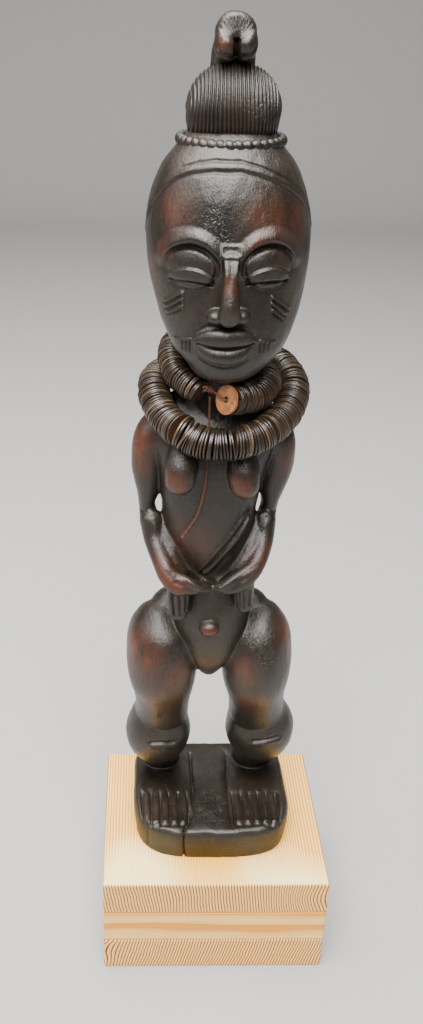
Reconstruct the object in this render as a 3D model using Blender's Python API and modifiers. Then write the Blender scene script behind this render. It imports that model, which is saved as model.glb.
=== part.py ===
"""A carved wooden woman with a two-turn necklace of shell discs, standing on a block of three glued boards.

Metres, +Z up. The origin is the middle of the block's underside, and the figure looks along -Y.
The carving is drawn in parts, one part being a 497th of the figure's height: x to the right, y to the
back and z up from the figure's own underside. Everything that fits to it is sized in metres.
"""

import math

import bmesh
import bpy
import numpy as np
from mathutils import Matrix, Vector
from mathutils.bvhtree import BVHTree

# Driving dimensions of the figure
FIGURE_HEIGHT = 0.497
PARTS_IN_HEIGHT = 497
PART = FIGURE_HEIGHT / PARTS_IN_HEIGHT

# Driving dimensions of the block
PLINTH_WIDTH = 0.144
PLINTH_DEPTH = 0.124
BOARD_THICKNESS = 0.025
BOARD_NAMES = ("plinth_bottom_board", "plinth_middle_board", "plinth_top_board")
BOARD_EDGE = 0.0007
TOUCH_GAP = 0.0003

# Driving dimensions of the necklace
SMALL_DISC_DIAMETER = 0.0142
LARGE_DISC_DIAMETER = 0.0178
DISC_THICKNESS = 0.0014
DISC_HOLE_DIAMETER = 0.0034
RUNS_ON_THE_STRAND = 25
RIBS_IN_A_RUN = 3
RIB_SIDES = 8
VALLEY_SHARE = 0.86
DISC_CLEARANCE = 0.0007
CORD_DIAMETER = 0.0013
KNOT_DIAMETER = 0.0046

# The turns at which a limb's end is rounded off
ROUND_END = tuple(math.radians(turn) for turn in (0, 25, 48, 68, 82))

# How finely the wood is modelled
CARVING_GRID = 0.00105
SMOOTH_PASSES = 5
BODY_TRIANGLES = 3920

STAND = len(BOARD_NAMES) * BOARD_THICKNESS + TOUCH_GAP


def blended(rows, steps):
    """Rows of numbers with steps smooth rows (Catmull-Rom) put in each span."""
    rows = np.array(rows, float)
    padded = np.vstack([2 * rows[0] - rows[1], rows, 2 * rows[-1] - rows[-2]])
    out = []
    for first in range(len(rows) - 1):
        a, b, c, d = padded[first : first + 4]
        for t in np.arange(steps) / steps:
            cubic = (3 * b - a - 3 * c + d) * t**3
            out.append(0.5 * (2 * b + (c - a) * t + (2 * a - 5 * b + 4 * c - d) * t**2 + cubic))
    out.append(rows[-1])
    return np.array(out)


def skin(bm, rings):
    """A closed loft through rings that hold equally many points."""
    loops = [[bm.verts.new(point) for point in ring] for ring in rings]
    for low, high in zip(loops, loops[1:]):
        for a, b, c, d in zip(low, low[1:] + low[:1], high[1:] + high[:1], high):
            bm.faces.new((a, b, c, d))
    bm.faces.new(loops[0][::-1])
    bm.faces.new(loops[-1])


def stack(bm, rows, steps=4, sides=40, fullness=2.0):
    """A form of level sections: rows of z, middle x, front y, back y and half width."""
    power = 2 / fullness
    rings = []
    for z, x, front, back, half in blended(rows, steps):
        middle, depth = (front + back) / 2, (back - front) / 2
        ring = []
        for k in range(sides):
            angle = math.tau * k / sides
            east, north = math.cos(angle), math.sin(angle)
            ring.append(
                (
                    x + half * math.copysign(abs(east) ** power, east),
                    middle + depth * math.copysign(abs(north) ** power, north),
                    z,
                )
            )
        rings.append(ring)
    skin(bm, rings)


def ball(bm, centre, radii):
    """An ellipsoid."""
    matrix = Matrix.Translation(centre) @ Matrix.Diagonal((*radii, 1))
    bmesh.ops.create_uvsphere(bm, u_segments=24, v_segments=14, radius=1, matrix=matrix)


def limb(bm, rows, across=(1, 0, 0), steps=4, sides=20):
    """A round-ended form along a path: rows of x, y, z, half width along across and half depth."""
    rows = blended(rows, steps)
    tangents = np.gradient(rows[:, :3], axis=0)
    tangents /= np.linalg.norm(tangents, axis=1)[:, None]
    turns = [math.tau * k / sides for k in range(sides)]
    ends = {0: -1, len(rows) - 1: 1}
    rings = []
    for place, (row, tangent) in enumerate(zip(rows, tangents)):
        tangent = Vector(tangent)
        side = (Vector(across) - tangent * tangent.dot(Vector(across))).normalized()
        other = tangent.cross(side)
        caps = ROUND_END if place in ends else ROUND_END[:1]
        for cap in caps[:: ends.get(place, 1)]:
            shift = ends.get(place, 1) * min(row[3], row[4]) * math.sin(cap)
            wide, deep = row[3] * math.cos(cap), row[4] * math.cos(cap)
            centre = Vector(row[:3]) + tangent * shift
            rings.append([centre + side * wide * math.cos(t) + other * deep * math.sin(t) for t in turns])
    skin(bm, rings)


TRUNK = (
    (121.5, -6.8, -4, 16, 3),
    (125.5, -6.8, -10, 22, 7),
    (132, -6.8, -15, 27, 12),
    (139, -6.8, -19, 33, 17.5),
    (150, -7.0, -22, 34, 23),
    (163, -7.4, -25, 33, 24.5),
    (176, -8.0, -25, 31, 23.4),
    (189, -8.2, -22.5, 30, 22.4),
    (203, -8.2, -20.5, 29, 23.2),
    (216, -9.6, -21, 28, 25.4),
    (230, -10.4, -22, 28, 27.2),
    (240, -10.4, -22.4, 28, 27.4),
    (250, -10.3, -22.5, 28, 28.8),
    (260, -10, -22.5, 28, 29.8),
    (273, -9.4, -21.5, 28, 33),
    (284, -9, -19, 28, 36),
    (293, -8.6, -15, 27, 35),
    (299, -8, -11.5, 25, 31.5),
    (304, -7.8, -8, 22, 26),
    (307, -7.6, -5, 17, 18),
)

NECK = (
    (284, -8.4, -14, 22, 18),
    (300, -8.6, -12.5, 21, 16.4),
    (318, -8.6, -12.5, 21, 16),
    (342, -7.4, -16, 25, 18),
)

HEAD = (
    (322.5, -8, -23, -8, 6),
    (325, -7.5, -30, -3, 11.5),
    (328.5, -7, -36.5, 4, 16.5),
    (333.5, -6, -39.5, 15, 21.8),
    (341, -5.4, -41, 24, 29),
    (350, -5.3, -41.5, 31, 33.6),
    (361, -5.5, -41, 36, 37.2),
    (375, -6.0, -40, 39.5, 40.2),
    (388, -6.4, -39.5, 41.5, 41.7),
    (400, -6.7, -39, 42, 41.4),
    (411, -7.0, -37, 40.5, 39.6),
    (420, -7.2, -34.5, 38, 36.8),
    (429, -7.4, -30, 34, 32.6),
    (437, -7.2, -22, 28, 26),
    (444, -6.8, -15, 23, 20),
)

# The foot slab: height and half width
SLAB = ((-4, 49.5), (3, 50.6), (12, 51.5), (18.5, 51.6), (21.5, 50.4), (22.5, 48.6))
SLAB_MIDDLE = (-1.0, 4.5)
SLAB_TOP = SLAB[-1][0]
SLAB_DEEPER_THAN_WIDE = -7.0

# Pairs of limbs: what is to the left in front view and what is to the right
ARMS = (
    (
        (-38, 4, 288, 11, 11),
        (-43.8, 4, 281, 10.2, 11.5),
        (-45.8, 4, 271, 9.4, 11),
        (-46.0, 4, 261, 8.9, 10.5),
        (-45.4, 4, 250, 7.6, 9.5),
        (-46.0, 4, 239, 5.0, 8.5),
        (-44.2, 1, 229, 6.2, 8.2),
    ),
    (
        (21, 4, 288, 11, 11),
        (26.6, 4, 281, 10.2, 11.5),
        (28.4, 4, 271, 9.3, 11),
        (27.4, 4, 261, 9.0, 10.5),
        (25.6, 4, 250, 7.4, 9.5),
        (25.0, 4, 239, 5.0, 8.5),
        (22.8, 1, 229, 6.2, 8.2),
    ),
)
FOREARMS = (
    (
        (-43.5, -2.5, 231, 6.8, 8.6),
        (-41.5, -8, 222, 6.6, 6.8),
        (-38.2, -16.5, 214, 6.0, 6.0),
        (-34, -24, 207, 6.2, 5.2),
        (-27.5, -27.5, 202.5, 7.0, 4.6),
        (-19, -27, 200, 6.2, 4.2),
        (-12.5, -24.5, 199, 5.0, 3.4),
    ),
    (
        (22.3, -2.5, 231, 6.6, 8.6),
        (21.2, -8, 223, 6.2, 6.6),
        (19, -15.5, 216, 5.8, 5.8),
        (14.5, -22.5, 210, 5.8, 5.0),
        (7.5, -26, 204.5, 6.4, 4.6),
        (0.5, -26.5, 200.5, 5.6, 4.2),
        (-5, -24.5, 198.5, 4.6, 3.4),
    ),
)
FINGERS = (
    ((-27.6, -24, 201, 7.0, 4.6), (-27.8, -24, 191, 6.4, 4.2), (-27.4, -24, 179, 5.4, 3.4)),
    ((9.2, -23, 204, 7.2, 4.4), (10.6, -23, 195, 5.4, 3.8), (11, -22.6, 184, 4.2, 3.2)),
)
THIGHS = (
    (
        (-31, 9, 163, 13, 14.5),
        (-33.8, 6, 157, 18.6, 22.5),
        (-35.5, 3, 149, 21.8, 27),
        (-35.8, -1, 137, 22.3, 26.5),
        (-35.4, -2, 124, 21.4, 24),
        (-34.8, 1, 110, 19.0, 20),
        (-34.6, 5, 97, 17.4, 17.5),
        (-34.8, 9, 86, 17.6, 17),
    ),
    (
        (17.8, 9, 163, 13, 14.5),
        (20.8, 6, 157, 18.2, 22.5),
        (22.4, 3, 149, 21.4, 27),
        (23.0, -1, 137, 21.8, 26.5),
        (23.2, -2, 124, 21.0, 24),
        (24.4, 1, 110, 18.8, 20),
        (25.8, 5, 97, 17.6, 17.5),
        (26.8, 9, 86, 18.0, 17),
    ),
)
CALVES = (
    (
        (-34.8, 10, 84, 16.6, 16),
        (-36.0, 12, 76, 19.6, 19),
        (-36.6, 13.5, 66, 21.6, 20.5),
        (-36.8, 16, 56, 20.6, 19.5),
        (-36.0, 21, 46, 17.0, 16),
        (-34.4, 27, 36, 13.8, 13.2),
        (-34.0, 31.5, 27, 12.6, 12.2),
        (-33.6, 33.5, 19, 12.4, 12.0),
    ),
    (
        (26.8, 10, 86, 17.4, 16),
        (28.6, 12, 78, 20.6, 19),
        (30.6, 13.5, 68, 22.8, 20.5),
        (31.2, 16, 58, 21.6, 19.5),
        (30.8, 21, 48, 18.2, 16),
        (30.0, 27, 38, 15.2, 13.5),
        (29.4, 31.5, 28, 13.0, 12.2),
        (29.4, 33.5, 19, 12.8, 12.0),
    ),
)
BUTTOCKS = (((-26, 21, 146), (20, 20, 24)), ((13, 21, 146), (20, 20, 24)))
SHOULDER_BLADES = (((-30, 11, 272), (14, 12, 19)), ((11.5, 11, 272), (14, 12, 19)))
BREASTS = (
    (
        (-27, -14, 287, 5.5, 5),
        (-27.6, -18, 281, 7.8, 7.4),
        (-28.2, -21.5, 273, 9.2, 9.4),
        (-28.6, -23.5, 266.5, 8.4, 8.6),
    ),
    (
        (5.0, -14, 285, 5.5, 5),
        (5.4, -18, 279, 7.8, 7.4),
        (6.0, -21.5, 271, 9.2, 9.4),
        (6.6, -23.5, 264.5, 8.4, 8.6),
    ),
)
# The wood left standing between each forearm and the waist
WAIST_WEBS = (
    ((-37.5, -1, 230.5, 4.6, 6), (-34.8, -8, 221, 5.6, 7), (-31, -13, 212, 6.2, 7.5), (-27, -16, 204, 6, 7)),
    ((17.5, -1, 231, 4.4, 6), (15.6, -8, 222, 5.4, 7), (12, -13, 213, 6.2, 7.5), (7.5, -16, 206, 6, 7)),
)
NAVEL = ((-9.3, -26, 171), (6.0, 5, 4.8))

# The face
EYES = ((-26.8, 386.5), (10.6, 387.4))
NOSE = (
    (-8.0, -39.4, 392, 4.4, 3.4),
    (-8.1, -42.0, 386, 3.9, 4.2),
    (-8.2, -44.4, 378, 4.1, 5.0),
    (-8.2, -46.4, 370, 4.8, 5.6),
    (-8.2, -46.4, 365, 5.4, 4.8),
)
NOSTRILS = (((-14.2, -41.8, 363.8), (4.7, 5.2, 3.8)), ((-2.2, -41.8, 364.0), (4.7, 5.2, 3.8)))
UPPER_LIP = (
    (-24, -38.3, 350.4, 2.4, 1.6),
    (-17, -42.2, 353.0, 4.4, 3.0),
    (-9, -43.9, 353.4, 4.9, 3.6),
    (-1.2, -42.4, 353.2, 4.4, 3.0),
    (6.2, -38.3, 351.0, 2.4, 1.6),
)
LOWER_LIP = (
    (-23, -38.2, 348.2, 2.0, 1.5),
    (-16, -41.8, 345.0, 3.9, 3.0),
    (-9, -43.2, 344.2, 4.4, 3.5),
    (-2, -42.0, 345.2, 3.9, 3.0),
    (5, -38.2, 348.6, 2.0, 1.5),
)
# Three raised strokes on each cheek, as the two ends of each
CHEEK_MARKS = (
    ((-39.0, 366.6), (-31.2, 373.2)),
    ((-38.4, 363.4), (-31.0, 369.9)),
    ((-37.0, 360.6), (-30.8, 366.4)),
    ((13.7, 372.4), (22.8, 365.3)),
    ((13.4, 369.2), (21.1, 362.6)),
    ((14.2, 366.0), (19.6, 360.9)),
)

# The hair: a twisted band round the crown, a ribbed bun and a folded topknot
BAND_MIDDLE = (-6.8, 5, 439.6)
BAND_RADII = (24.9, 23.8)
BAND_BEADS = 36
BEAD_RADII = (2.9, 2.3)
BEAD_SIDES = 6
BUN_MIDDLE = (-6.2, 6, 452)
BUN_RADII = (23.4, 21.5, 22.5)
BUN_RIBS = 20
BUN_SIDES = 12
BUN_END = 0.97
BUN_FULLNESS = 2.6
BUN_GROOVE = 0.045
TOPKNOT_STEM = (
    (464, -7.2, 3, 17, 11.2),
    (473, -7.1, 3.5, 16.5, 10.9),
    (481, -7.0, 4, 15, 10.5),
    (489, -6.9, 4, 13, 8),
)
TOPKNOT_LOBES = (
    ((-6.9, 3, 487.4), (10.0, 9.5, 9.4)),
    ((-11.4, 0.5, 482.5), (6.0, 8.0, 8.6)),
    ((-2.4, 0.5, 483.0), (6.0, 8.0, 8.6)),
)
TOPKNOT_SLOT = ((-6.9, 467), (-6.9, 485))


def slab(bm):
    """The foot slab: an oval front of large radius, a squarer back, and soft edges."""
    rings = []
    for z, half in SLAB:
        ring = []
        for k in range(64):
            angle = math.tau * k / 64
            east, north = math.cos(angle), math.sin(angle)
            power = 2 / 3.4 if north < 0 else 2 / 6
            x = SLAB_MIDDLE[0] + half * math.copysign(abs(east) ** power, east)
            y = SLAB_MIDDLE[1] + (half + SLAB_DEEPER_THAN_WIDE) * math.copysign(abs(north) ** power, north)
            ring.append((x, y, z))
        rings.append(ring)
    skin(bm, rings)


def rough_forms():
    """Every form of the figure but the hair, as overlapping closed shapes in parts."""
    bm = bmesh.new()
    slab(bm)
    stack(bm, TRUNK, fullness=2.3)
    stack(bm, NECK)
    stack(bm, HEAD, fullness=2.15)
    stack(bm, TOPKNOT_STEM, fullness=3)
    for pair in (ARMS, FOREARMS, WAIST_WEBS, FINGERS, BREASTS, THIGHS, CALVES):
        for rows in pair:
            limb(bm, rows)
    for pair in (BUTTOCKS, SHOULDER_BLADES, NOSTRILS, TOPKNOT_LOBES):
        for centre, radii in pair:
            ball(bm, centre, radii)
    limb(bm, NOSE)
    limb(bm, UPPER_LIP, across=(0, 0, 1))
    limb(bm, LOWER_LIP, across=(0, 0, 1))
    ball(bm, *NAVEL)
    return bm


def bump(distance, reach):
    """1 on a line and 0 at reach from it, round at both."""
    share = np.clip(distance / reach, 0, 1)
    return (1 - share**2) ** 2


def distance_to(points, route):
    """How far flat points are from a broken line."""
    nearest = np.full(len(points), 1e9)
    for start, end in zip(route[:-1], route[1:]):
        run = end - start
        along = np.clip(((points - start) @ run) / (run @ run), 0, 1)
        nearest = np.minimum(nearest, np.linalg.norm(points - start - along[:, None] * run, axis=1))
    return nearest


def bow(centre, half_width, rise, start=0.0, end=180.0):
    """An arc over a centre from its left end to its right end."""
    angles = np.radians(np.linspace(180 - start, 180 - end, 15))
    return np.stack([centre[0] + half_width * np.cos(angles), centre[1] + rise * np.sin(angles)], axis=1)


def face_strokes():
    """Lines cut in or raised on the head's front: route in x and z, reach and height."""
    strokes = [
        (bow((-7.2, 404), 38, 28), 1.6, -1.1),
        (bow((-7.2, 410), 35, 30, 25, 155), 1.5, -0.8),
        (np.array([(-25, 349.4), (-9, 348.6), (6.5, 350)]), 1.2, -1.2),
        (np.array([(-12, 395.3), (-4, 395.3)]), 3.4, 1.6),
        (np.array(TOPKNOT_SLOT), 2.4, -4.5),
    ]
    for x, z in EYES:
        strokes.append((bow((x, z - 1), 15, 17.5, 8, 172), 4.2, 2.4))
        strokes.append((bow((x, z - 4), 11.5, 3.2, 5, 175), 1.5, 1.2))
        strokes.append((np.array([(x - 9, z - 8.6), (x + 9, z - 8.6)]), 1.4, 0.9))
    for ends in CHEEK_MARKS:
        strokes.append((np.array(ends), 1.3, 1.1))
    return strokes


def body_strokes():
    """Lines on the front of the trunk and legs."""
    strokes = [
        (np.array([(10.1, 246.6), (-4, 227.5), (-16.3, 212.3)]), 1.7, 1.3),
        (np.array([(10.5, 241.5), (-2, 223.5), (-14.0, 207.6)]), 1.7, 1.3),
        (np.array([(10.3, 243.9), (-3, 225.5), (-15.0, 210.0)]), 1.2, -0.8),
        (np.array([(-42, 67.5), (-35, 66.5), (-27, 67.5)]), 1.7, -1.6),
        (np.array([(24, 71), (32, 72.5), (41, 74)]), 1.7, -1.6),
    ]
    for first, last in (((-30.2, 196), (-29.6, 181)), ((-25.8, 196), (-25.2, 181)), ((8, 198), (9, 187))):
        strokes.append((np.array([first, last]), 1.2, -1.0))
    return strokes


TOES = 5
TOE_ROWS = ((-45.0, -19.5), (13.0, 39.5))


def slab_strokes():
    """Lines on the slab's top: route in x and y."""
    strokes = [
        (np.array([(-14.5, -37), (-15, -5), (-16, 32)]), 1.5, -1.1),
        (np.array([(9.5, -37), (10, -5), (10.5, 32)]), 1.5, -1.1),
    ]
    for left, right in TOE_ROWS:
        for x in np.linspace(left, right, TOES + 1):
            strokes.append((np.array([(x, -31), (x, -5)]), 1.6, -1.4))
        strokes.append((np.array([(left, -31.5), (right, -31.5)]), 1.5, -1.0))
    return strokes


def sockets(points):
    """How far the eye sockets go in and the lids come out, at each point of the face."""
    depth = np.zeros(len(points))
    for x, z in EYES:
        reach = np.hypot((points[:, 0] - x) / 15.5, (points[:, 1] - z + 1) / 14)
        depth -= 4.6 * np.clip(1 - reach**2, 0, 1) ** 1.2
        lid = np.hypot((points[:, 0] - x) / 11.8, (points[:, 1] - z) / 10.5)
        depth += 5.4 * np.sqrt(np.clip(1 - lid**2, 0, 1))
    return depth


def carve(points, normals):
    """The points of the smooth forms moved out or in by the carved lines, the way each line is seen."""
    moved = points.copy()
    front = np.clip((-normals[:, 1] - 0.15) / 0.35, 0, 1)
    head = front * (points[:, 2] > 326) * (points[:, 1] < 12)
    body = front * (points[:, 2] < 300) * (points[:, 2] > 24)
    flat = points[:, [0, 2]]
    for weight, strokes in ((head, face_strokes()), (body, body_strokes())):
        for route, reach, height in strokes:
            moved[:, 1] -= weight * height * bump(distance_to(flat, route), reach)
    moved[:, 1] -= head * sockets(flat)
    top = np.clip((normals[:, 2] - 0.3) / 0.4, 0, 1) * (points[:, 2] < SLAB_TOP + 1) * (points[:, 2] > 15)
    for route, reach, height in slab_strokes():
        moved[:, 2] += top * height * bump(distance_to(points[:, :2], route), reach)
    return moved


def bun(bm):
    """The bun: ribs that run from front to back, so each is a pair of rings across X."""
    x, y, z = BUN_MIDDLE
    rings = []
    stations = 2 * BUN_RIBS
    for k in range(stations + 1):
        share = BUN_END * (2 * k / stations - 1)
        swell = math.sqrt(1 - abs(share) ** BUN_FULLNESS)
        swell -= 0.0 if k % 2 else BUN_GROOVE
        ring = []
        for turn in range(BUN_SIDES):
            angle = math.tau * turn / BUN_SIDES
            ring.append(
                (
                    x + BUN_RADII[0] * share,
                    y + BUN_RADII[1] * swell * math.cos(angle),
                    z + BUN_RADII[2] * swell * math.sin(angle),
                )
            )
        rings.append(ring)
    skin(bm, rings)


def band(bm):
    """The twisted band: a ring whose thickness swells once for every bead."""
    x, y, z = BAND_MIDDLE
    loops = []
    stations = 2 * BAND_BEADS
    for k in range(stations):
        angle = math.tau * k / stations
        radius = BEAD_RADII[0] if k % 2 else BEAD_RADII[1]
        out = Vector((math.cos(angle), math.sin(angle), 0))
        centre = Vector((x + BAND_RADII[0] * out.x, y + BAND_RADII[1] * out.y, z))
        turns = [math.tau * turn / BEAD_SIDES for turn in range(BEAD_SIDES)]
        ring = [centre + radius * (out * math.cos(t) + Vector((0, 0, math.sin(t)))) for t in turns]
        loops.append([bm.verts.new(point) for point in ring])
    for low, high in zip(loops, loops[1:] + loops[:1]):
        for a, b, c, d in zip(low, low[1:] + low[:1], high[1:] + high[:1], high):
            bm.faces.new((a, b, c, d))


def new_object(name, bm, collection, smooth_angle=None):
    """A mesh object from a bmesh in parts, scaled to metres and stood on the block."""
    bmesh.ops.recalc_face_normals(bm, faces=bm.faces)
    bmesh.ops.transform(bm, matrix=Matrix.Translation((0, 0, STAND)) @ Matrix.Scale(PART, 4), verts=bm.verts)
    mesh = bpy.data.meshes.new(name)
    bm.to_mesh(mesh)
    bm.free()
    if smooth_angle:
        mesh.shade_smooth()
        mesh.set_sharp_from_angle(angle=math.radians(smooth_angle))
    made = bpy.data.objects.new(name, mesh)
    collection.objects.link(made)
    return made


def evaluated_mesh(item):
    """The object's mesh with its modifiers applied."""
    graph = bpy.context.evaluated_depsgraph_get()
    return bpy.data.meshes.new_from_object(item.evaluated_get(graph), depsgraph=graph)


def set_mesh(item, mesh):
    """Gives the object a mesh and clears its modifiers."""
    item.modifiers.clear()
    item.data = mesh


def figure(parts, helpers):
    """The carved figure in one piece."""
    item = new_object("carved_figure", rough_forms(), parts)
    remesh = item.modifiers.new("one skin", "REMESH")
    remesh.mode = "VOXEL"
    remesh.voxel_size = CARVING_GRID
    smooth = item.modifiers.new("soften", "SMOOTH")
    smooth.factor = 0.5
    smooth.iterations = SMOOTH_PASSES
    mesh = evaluated_mesh(item)

    count = len(mesh.vertices)
    points, normals = np.empty(count * 3), np.empty(count * 3)
    mesh.vertices.foreach_get("co", points)
    mesh.vertices.foreach_get("normal", normals)
    points = points.reshape(-1, 3)
    points[:, 2] -= STAND
    carved = carve(points / PART, normals.reshape(-1, 3)) * PART
    carved[:, 2] += STAND
    mesh.vertices.foreach_set("co", carved.ravel())
    mesh.update()
    set_mesh(item, mesh)

    reduce = item.modifiers.new("fewer faces", "DECIMATE")
    reduce.ratio = BODY_TRIANGLES / (2 * len(mesh.polygons))
    mesh = evaluated_mesh(item)
    bm = bmesh.new()
    bm.from_mesh(mesh)
    everything = bm.verts[:] + bm.edges[:] + bm.faces[:]
    bmesh.ops.bisect_plane(
        bm, geom=everything, plane_co=(0, 0, STAND), plane_no=(0, 0, 1), dist=1e-6, clear_inner=True
    )
    rim = [edge for edge in bm.edges if edge.is_boundary]
    bmesh.ops.holes_fill(bm, edges=rim, sides=0)
    bmesh.ops.triangulate(bm, faces=[face for face in bm.faces if len(face.verts) > 3])
    bm.to_mesh(mesh)
    bm.free()
    set_mesh(item, mesh)

    for name, shape in (("bun_form", bun), ("band_form", band)):
        bm = bmesh.new()
        shape(bm)
        helper = new_object(name, bm, helpers)
        helper.hide_render = True
        helper.display_type = "WIRE"
        union = item.modifiers.new(name, "BOOLEAN")
        union.operation = "UNION"
        union.object = helper
    mesh = evaluated_mesh(item)
    bm = bmesh.new()
    bm.from_mesh(mesh)
    bmesh.ops.triangulate(bm, faces=bm.faces)
    bm.to_mesh(mesh)
    bm.free()
    set_mesh(item, mesh)
    mesh.shade_smooth()
    mesh.set_sharp_from_angle(angle=math.radians(45))
    return item


# The strand: degrees round the neck from the front by the left, distance from the neck's middle and height
NECK_MIDDLE = (-8.6, 4)
STRAND = (
    (22, 26.5, 317.5),
    (55, 25.2, 320),
    (85, 25, 325),
    (115, 26.5, 329),
    (150, 31, 330.5),
    (180, 37.5, 328),
    (212, 45, 319),
    (245, 45, 312),
    (275, 41.2, 306.5),
    (305, 39.8, 300),
    (335, 39, 294),
    (360, 38.5, 292.5),
    (385, 37, 294),
    (415, 35.5, 301),
    (445, 34.6, 308.5),
    (475, 35, 311),
    (510, 35, 309.5),
    (540, 34, 308),
    (575, 30, 310),
    (605, 28, 313.5),
    (635, 27.6, 315.5),
    (655, 28.4, 314.5),
    (675, 29, 314),
    (690, 30.2, 314.2),
    (703, 33.2, 316.4),
    (715, 36.5, 318.4),
)
SIZES_ALONG_STRAND = ((25, 0.0), (90, 0.4), (160, 1.0), (560, 1.0), (650, 1.0), (690, 0.9), (715, 0.35))
SETTLING_PASSES = 90
STRAND_SAMPLES = 150


def disc_radii(turn):
    """Discs are small at the strand's two ends and large on its outer turn."""
    places, shares = zip(*SIZES_ALONG_STRAND)
    share = np.interp(turn, places, shares)
    return (SMALL_DISC_DIAMETER + (LARGE_DISC_DIAMETER - SMALL_DISC_DIAMETER) * share) / 2


def even_steps(path, count):
    """A path's columns read at count even steps along its length."""
    steps = np.linalg.norm(np.diff(path[:, :3], axis=0), axis=1)
    along = np.concatenate([[0], np.cumsum(steps)])
    wanted = np.linspace(0, along[-1], count)
    return np.stack([np.interp(wanted, along, column) for column in path.T], axis=1)


def settled_strand(item):
    """The strand's middle line, laid on the figure: rows of x, y, z in metres and disc radius."""
    tree = BVHTree.FromPolygons(
        [vertex.co for vertex in item.data.vertices], [tuple(face.vertices) for face in item.data.polygons]
    )
    rows = blended(STRAND, 8)
    angles = np.radians(rows[:, 0])
    x = (NECK_MIDDLE[0] - rows[:, 1] * np.sin(angles)) * PART
    y = (NECK_MIDDLE[1] - rows[:, 1] * np.cos(angles)) * PART
    z = rows[:, 2] * PART + STAND
    strand = even_steps(np.stack([x, y, z, rows[:, 0]], axis=1), STRAND_SAMPLES)
    drawn, turn = strand[:, :3], strand[:, 3]
    path = drawn.copy()
    radii = disc_radii(turn)
    front = np.abs(turn - 360) < 35
    room = radii + DISC_CLEARANCE + front * (CORD_DIAMETER + TOUCH_GAP)
    for settling in range(SETTLING_PASSES):
        if settling < SETTLING_PASSES - 10:
            path += 0.12 * (drawn - path)
            path[1:-1] += 0.2 * (path[:-2] + path[2:] - 2 * path[1:-1])
        for k, point in enumerate(path):
            near, normal, _, distance = tree.find_nearest(Vector(point))
            away = Vector(point) - near
            if away.dot(normal) < 0:
                path[k] = near + normal * room[k]
            elif distance < room[k]:
                path[k] = near + away.normalized() * room[k]
        apart = path[:, None] - path[None]
        gaps = np.linalg.norm(apart, axis=2)
        wanted = radii[:, None] + radii[None] + DISC_CLEARANCE
        other_turn = np.abs(turn[:, None] - turn[None]) > 90
        for k, m in zip(*np.nonzero(other_turn & (gaps < wanted))):
            if k < m:
                push = apart[k, m] / gaps[k, m] * (wanted[k, m] - gaps[k, m]) / 2
                path[k] += push
                path[m] -= push
    return np.column_stack([path, radii])


def disc_runs(strand, parts, material):
    """The discs, fused in short ribbed runs of equal length that meet face to face with a small gap."""
    stations = 2 * RIBS_IN_A_RUN * RUNS_ON_THE_STRAND
    rows = even_steps(strand, stations + 1)
    tangents = np.gradient(rows[:, :3], axis=0)
    for run in range(RUNS_ON_THE_STRAND):
        first = run * 2 * RIBS_IN_A_RUN
        rings = []
        for k in range(first, first + 2 * RIBS_IN_A_RUN + 1):
            tangent = Vector(tangents[k]).normalized()
            centre = Vector(rows[k, :3])
            centre += tangent * (TOUCH_GAP / 2) * ((k == first) - (k == first + 2 * RIBS_IN_A_RUN))
            side = tangent.cross(Vector((0, 0, 1))).normalized()
            up = side.cross(tangent)
            radius = float(rows[k, 3]) * (1.0 if k % 2 else VALLEY_SHARE)
            turns = [math.tau * (t + 0.5) / RIB_SIDES for t in range(RIB_SIDES)]
            rings.append([centre + radius * (side * math.cos(t) + up * math.sin(t)) for t in turns])
        bm = bmesh.new()
        skin(bm, rings)
        bmesh.ops.recalc_face_normals(bm, faces=bm.faces)
        mesh = bpy.data.meshes.new(f"disc_run_{run + 1:02d}")
        bm.to_mesh(mesh)
        bm.free()
        item = bpy.data.objects.new(mesh.name, mesh)
        mesh.materials.append(material)
        parts.objects.link(item)


def facing(direction):
    """The turn that brings +Z to a direction."""
    return Vector(direction).to_track_quat("Z", "Y").to_matrix().to_4x4()


def end_disc(strand, parts, material):
    """The pale disc at the strand's end, a flat ring with the cord's hole in it."""
    last_step = strand[-1, :3] - strand[-2, :3]
    direction = last_step / np.linalg.norm(last_step)
    outside, hole = strand[-1, 3], DISC_HOLE_DIAMETER / 2
    half = DISC_THICKNESS / 2
    outline = ((outside, half), (outside, -half), (hole, -half), (hole, half))
    mesh = bpy.data.meshes.new("end_disc")
    mesh.from_pydata([(x, 0, z) for x, z in outline], [(0, 1), (1, 2), (2, 3), (3, 0)], [])
    mesh.materials.append(material)
    item = bpy.data.objects.new("end_disc", mesh)
    parts.objects.link(item)
    middle = strand[-1, :3] + direction * (half + TOUCH_GAP)
    item.matrix_world = Matrix.Translation(middle) @ facing(direction)
    screw = item.modifiers.new("round", "SCREW")
    screw.steps = screw.render_steps = 28
    screw.merge_threshold = 0.00001
    screw.use_smooth_shade = False


# The knot's middle, and the tail's own points from the knot down the chest
KNOT = (-14.4, -26.0, 320.5)
KNOT_LENGTHENED = 1.3
TAIL = (
    (-14.4, -26.2, 316.2),
    (-14.3, -24.6, 308),
    (-14.0, -24.3, 296),
    (-14.0, -24.2, 284),
    (-14.4, -24.4, 270),
    (-15.8, -24.6, 258),
    (-18.6, -24.8, 246),
    (-22.6, -24.2, 238),
    (-26.8, -23.2, 230.5),
)


def knot(parts, material):
    """The knot that closes the strand."""
    bm = bmesh.new()
    radius = KNOT_DIAMETER / 2 / PART
    matrix = Matrix.Translation(KNOT) @ Matrix.Diagonal((KNOT_LENGTHENED, 1, 1, 1))
    bmesh.ops.create_uvsphere(bm, u_segments=12, v_segments=8, radius=radius, matrix=matrix)
    item = new_object("necklace_knot", bm, parts, 60)
    item.data.materials.append(material)


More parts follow.
